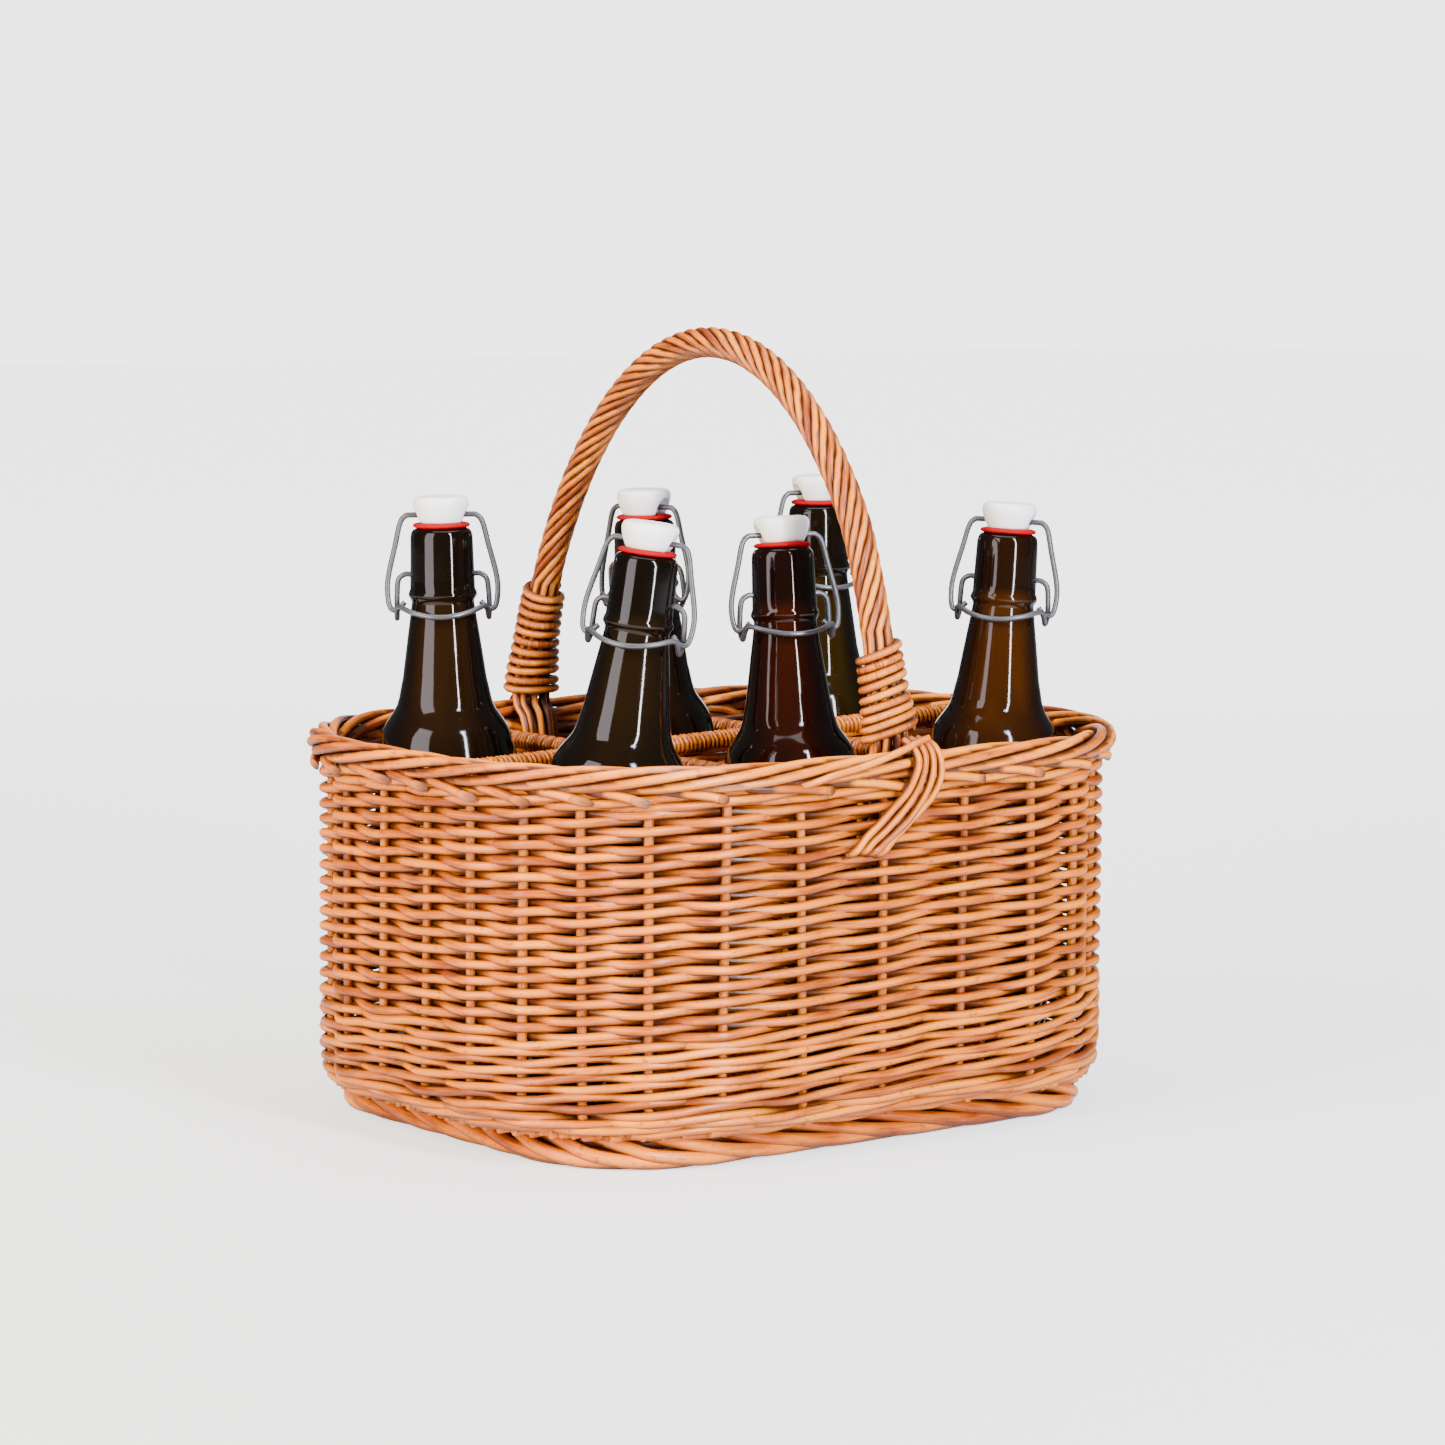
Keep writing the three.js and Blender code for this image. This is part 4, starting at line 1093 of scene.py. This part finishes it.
class CARRIER_OT_wraps(bpy.types.Operator):
    """Bind each leg of the handle above the border"""

    bl_idname = "carrier.wraps"
    bl_label = "Bindings"

    def execute(self, context):
        sizes, colours = chosen(context)
        material = willow_material("Binding Willow", colours, 0.93, 0.7)
        radius = sizes.wrap_radius / MM
        line, across, outward, _ = handle_line()
        whole = list(zip(line, outward))
        bindings = (("front", True, sizes.wrap_turns, 2.6), ("back", False, sizes.wrap_turns + 2, 0.6))
        for way, near, turns, lean in bindings:
            rng = random.Random(41 + near)
            strength = 2.0 if near else 0.8
            waves = [(rng.uniform(0.2, 0.45) * strength, rng.uniform(0.3, 2.2), rng.uniform(0, 6))
                     for _ in range(4)]
            leg = [(p, out) for p, out in (whole if near else reversed(whole)) if p.z > HANDLE_SPRING + 2.0]
            leg = leg[:next(i for i, (p, _) in enumerate(leg) if p.z > wrap_top(p) - 1)]
            steps = int(turns * WRAP_STEPS)
            points, wide, deep = [], [], []
            for i in range(steps + 1):
                share = i / steps * (len(leg) - 1)
                k = min(int(share), len(leg) - 2)
                point, out = (a.lerp(b, share - k) for a, b in zip(leg[k], leg[k + 1]))
                half_width, half_depth = handle_girth(point)
                loose = sum(a * sin(b * i / WRAP_STEPS + c) for a, b, c in waves)
                flare = WRAP_FLARE * (1 - i / steps) ** 2
                points.append(point + Vector((0, 0, 0.8 * loose)))
                wide.append((half_width + flare + radius * 0.75 + 0.25 * loose) * across
                            + Vector((0, 0, lean + 0.5 * loose)))
                deep.append((half_depth + radius * 0.75) * out)
            run = twist_run(points, wide, deep, spread(0, 1, steps))
            turned = [i / WRAP_STEPS for i in range(steps + 1)]
            run["rod"] = [0.5 + 0.5 * sin(3.1 * t + 1.7 * sin(1.3 * t)) for t in turned]
            run["thick"] = [1.0 + 0.1 * sin(1.9 * t + near) for t in turned]
            pieces = [twisted_rods(1, turns, f"binding_{way}", [run], sizes.wrap_radius, 8, 0.1, material)]
            if not near:
                top, out = leg[-1]
                stubs = []
                for share, rise in ((0.1, 12.0), (0.5, 10.5), (0.85, 9.5)):
                    foot = top + (HANDLE_HALF_WIDTH * share + 1.2) * across + (5.5 - 3.5 * share) * -out
                    foot.z -= 6.0
                    end = foot + Vector((0.4, -1.2, rise))
                    stubs.append(rod_run([foot, foot.lerp(end, 0.5), end], 0.1 + 0.3 * share,
                                         facing=[-out] * 3, slant=0.25))
                pieces.append(shaded_rods("stubs", stubs, sizes.wrap_radius * 1.1, 10, 0.04, material))
            settle(joined(f"binding_{way}", pieces), "willow", f"handle_wrap_{way}")
        return {"FINISHED"}


class CARRIER_OT_lashings(bpy.types.Operator):
    """Tie each leg to the basket with rods over the border and down the wall"""

    bl_idname = "carrier.lashings"
    bl_label = "Lashings"

    def execute(self, context):
        material = willow_material("Lashing Willow", chosen(context)[1], 0.95, 0.7)
        for way, turn, seed in (("front", 0.0, 9), ("back", pi, 12)):
            rng = random.Random(seed)
            spin = Matrix.Rotation(turn, 4, "Z")
            # direction that the lashing rods' painted shade turns from
            outward = spin @ Vector((0, -1, 0.2)).normalized()
            runs = []
            for route in LASHING_RODS:
                line = [Vector((x + LASHING_X, y, z)) for (x, z), y in zip(route, LASHING_DEPTHS)]
                line.append(line[-1] + 0.35 * (line[-1] - line[-2]) + Vector((0, 3.6, 0)))
                points = [spin @ p for p in smooth(line, 5)]
                count = len(points)
                runs.append({**rod_run(points, rng.random(), taper=0.35), "outward": [outward] * count,
                             "cut": [Vector((0, 0, 0))] * count, "tip": [0.0] * count})
            if way == "front":
                points = smooth(LASHING_TAIL, 5)
                facing = [Vector((0, -0.9, 0.3)).normalized()] * len(points)
                runs.append(rod_run(points, 0.75, taper=-0.25, facing=facing, slant=0.5))
            piece = shaded_rods(f"lashing_{way}", runs, 0.00185, 9, 0.08, material)
            settle(piece, "willow", f"handle_lashing_{way}")
        return {"FINISHED"}


# ---- the bottles

def notched(radius, angle, z):
    """Radius of a stopper, drawn in on both sides under an arch where the wire goes through."""
    aside = abs(radius * sin(angle))
    arch = NOTCH_TOP + sqrt(max(0.0, NOTCH_HALF ** 2 - aside ** 2)) - z
    return radius - NOTCH_DEPTH * clamp(min(NOTCH_HALF - aside, arch) / 0.7)


def lathe(name, profile, segments, place, material, shape=None):
    """A closed turned shape from radius and height in millimetres, put in place."""
    form = bmesh.new()
    rings = []
    for radius, z in profile:
        ring = []
        for i in range(segments if radius else 1):
            angle = 2 * pi * i / segments
            r = shape(radius, angle, z) if shape and radius else radius
            ring.append(form.verts.new(place @ Vector((r * cos(angle), r * sin(angle), z)) * MM))
        rings.append(ring)
    for low, high in zip(rings, rings[1:]):
        for i in range(segments):
            j = (i + 1) % segments
            below = (low[0],) if len(low) == 1 else (low[i], low[j])
            above = (high[0],) if len(high) == 1 else (high[j], high[i])
            form.faces.new((*below, *above))
    bmesh.ops.recalc_face_normals(form, faces=form.faces)
    for face in form.faces:
        face.smooth = True
    mesh = bpy.data.meshes.new(name)
    form.to_mesh(mesh)
    form.free()
    mesh.materials.append(material)
    return placed(name, mesh)


def bottle_place(name):
    """Place of a bottle in the frame, in millimetres, and the height of its lip."""
    x, y, lean_x, lean_y, taller, turn = BOTTLES[name]
    axis = Vector((tan(radians(lean_x)), tan(radians(lean_y)), 1)).normalized()
    upright = Vector((0, 0, 1)).rotation_difference(axis)
    lift = BASE_RADIUS * hypot(axis.x, axis.y)
    stand = Matrix.Translation((x, y, FLOOR_TOP + 0.3 + lift)) @ upright.to_matrix().to_4x4()
    return stand @ Matrix.Rotation(radians(VIEW_TURN + turn), 4, "Z"), LIP_Z + taller


class CARRIER_OT_bottles(bpy.types.Operator):
    """Turn the six bottles and stand them in their compartments"""

    bl_idname = "carrier.bottles"
    bl_label = "Bottles"

    def execute(self, context):
        colours = chosen(context)[1]
        material = glass_material("Amber Glass", colours.glass_deep)
        for name, share in GLOW.items():
            place, lip = bottle_place(name)
            profile = [(radius, z if z < STRAIGHT_PART_Z else z + lip - LIP_Z) for radius, z in BODY]
            profile += [(radius, lip - below) for radius, below in FINISH]
            body = lathe(f"glass_{name}", profile, 64, place, material)
            # each bottle's share of the painted glow
            values = [c * g for c, g in zip(colours.glass_glow, share)] * len(body.data.vertices)
            body.data.attributes.new("glow", VECTOR, "POINT").data.foreach_set("vector", values)
            settle(body, "glass", f"bottle_{name}")
        return {"FINISHED"}


class CARRIER_OT_closures(bpy.types.Operator):
    """Close each bottle with its gasket, stopper and sprung wires"""

    bl_idname = "carrier.closures"
    bl_label = "Closures"

    def execute(self, context):
        sizes, colours = chosen(context)
        white = smooth_material("White Stopper", colours.stopper, 0.2, 0.35)
        red = smooth_material("Red Rubber", colours.gasket, 0.55, 0.7, specular=0.05)
        steel = smooth_material("Drawn Steel", colours.steel, 0.24, 0.42, metallic=0.6, specular=0.7)
        for name in BOTTLES:
            stand, lip = bottle_place(name)
            place = stand @ Matrix.Translation((0, 0, lip))
            settle(lathe(f"seal_{name}", GASKET, 48, place, red), "rubber", f"gasket_{name}")
            settle(lathe(f"cup_{name}", STOPPER, 120, place, white, notched), "stopper", f"stopper_{name}")
            for label, half in (("bail", BAIL_HALF), ("lever", LEVER_HALF)):
                line = [*half, *((-x, y, z) for x, y, z in reversed(half))]
                run = rod_run([place @ p for p in smooth(line, 6)], 0.5)
                wire = plain_rods(f"wire_{label}_{name}", [run], sizes.wire_radius, 10, 0.0, steel)
                settle(wire, "steel", f"{label}_{name}")
        return {"FINISHED"}


# ---- the stage

class CARRIER_OT_stage(bpy.types.Operator):
    """Lay the pale floor and set the soft lights and the camera"""

    bl_idname = "carrier.stage"
    bl_label = "Stage"

    def execute(self, context):
        scene = context.scene
        azimuth, elevation, roll = (radians(a) for a in (AZIMUTH, ELEVATION, ROLL))
        backwards = (-sin(azimuth), cos(azimuth), 0.0)
        mesh = bpy.data.meshes.new("ground")
        mesh.from_pydata([(-9, -9, 0), (9, -9, 0), (9, 9, 0), (-9, 9, 0)], [], [(0, 1, 2, 3)])
        mesh.materials.append(ground_material("Pale Ground", scene.carrier_colours.ground, backwards))
        placed("ground", mesh)
        scene.world = bpy.data.worlds.new("Studio")
        scene.world.use_nodes = True
        nodes = Nodes(scene.world.node_tree)
        away = nodes.dot(nodes.add("ShaderNodeTexCoord", out="Generated"), backwards)
        bright = nodes.remap(nodes.camera_ray(), 0.0, 1.0, nodes.remap(away, 0.95, 0.985, 0.14, 2.6), 3.6)
        nodes.wire(nodes.tree.nodes["Background"], {"Color": (1, 1, 1, 1), "Strength": bright})
        for name, (place, aim, wide, tall, power, tint, shines) in LAMPS.items():
            lamp = bpy.data.lights.new(name, "AREA")
            lamp.color, lamp.energy = tint, power
            lamp.shape, lamp.size, lamp.size_y = "RECTANGLE", wide, tall
            item = placed(name, lamp)
            item.location = place
            item.rotation_euler = (Vector(aim) - Vector(place)).to_track_quat("-Z", "Y").to_euler()
            item.visible_glossy = shines
        back = Vector((sin(azimuth) * cos(elevation), -cos(azimuth) * cos(elevation), sin(elevation)))
        right = Vector((cos(azimuth), sin(azimuth), 0))
        across = right * cos(roll) + back.cross(right) * sin(roll)
        camera = bpy.data.cameras.new("camera")
        camera.sensor_width = SENSOR_WIDTH
        camera.lens = FOCAL_LENGTH / PHOTO_WIDTH * SENSOR_WIDTH
        scene.camera = placed("camera", camera)
        turned = Matrix((across, back.cross(across), back)).transposed().to_4x4()
        stand = right * AIM_ASIDE + Vector((0, 0, AIM_HEIGHT)) + back * DISTANCE
        scene.camera.matrix_world = Matrix.Translation(stand) @ turned
        return {"FINISHED"}


STEPS = (
    CARRIER_OT_stage, CARRIER_OT_foot_border, CARRIER_OT_wales, CARRIER_OT_side, CARRIER_OT_rim_border,
    CARRIER_OT_floor, CARRIER_OT_dividers, CARRIER_OT_handle, CARRIER_OT_wraps, CARRIER_OT_lashings,
    CARRIER_OT_bottles, CARRIER_OT_closures,
)


class CARRIER_PT_panel(bpy.types.Panel):
    """Sizes, colours and steps of the carrier."""

    bl_idname = "CARRIER_PT_panel"
    bl_label = "Wicker Bottle Carrier"
    bl_space_type = "VIEW_3D"
    bl_region_type = "UI"
    bl_category = "Carrier"

    def draw(self, context):
        layout = self.layout
        for group in chosen(context):
            box = layout.box()
            for key in group.bl_rna.properties.keys():
                if key not in ("rna_type", "name"):
                    box.prop(group, key)
        for step in STEPS:
            layout.operator(step.bl_idname)


CLASSES = (CarrierSizes, CarrierColours, *STEPS, CARRIER_PT_panel)


def register():
    for item in CLASSES:
        bpy.utils.register_class(item)
    bpy.types.Scene.carrier_sizes = PointerProperty(type=CarrierSizes)
    bpy.types.Scene.carrier_colours = PointerProperty(type=CarrierColours)


def unregister():
    del bpy.types.Scene.carrier_sizes
    del bpy.types.Scene.carrier_colours
    for item in reversed(CLASSES):
        bpy.utils.unregister_class(item)


def main():
    register()
    for step in STEPS:
        area, name = step.bl_idname.split(".")
        getattr(getattr(bpy.ops, area), name)()


if __name__ == "__main__":
    main()
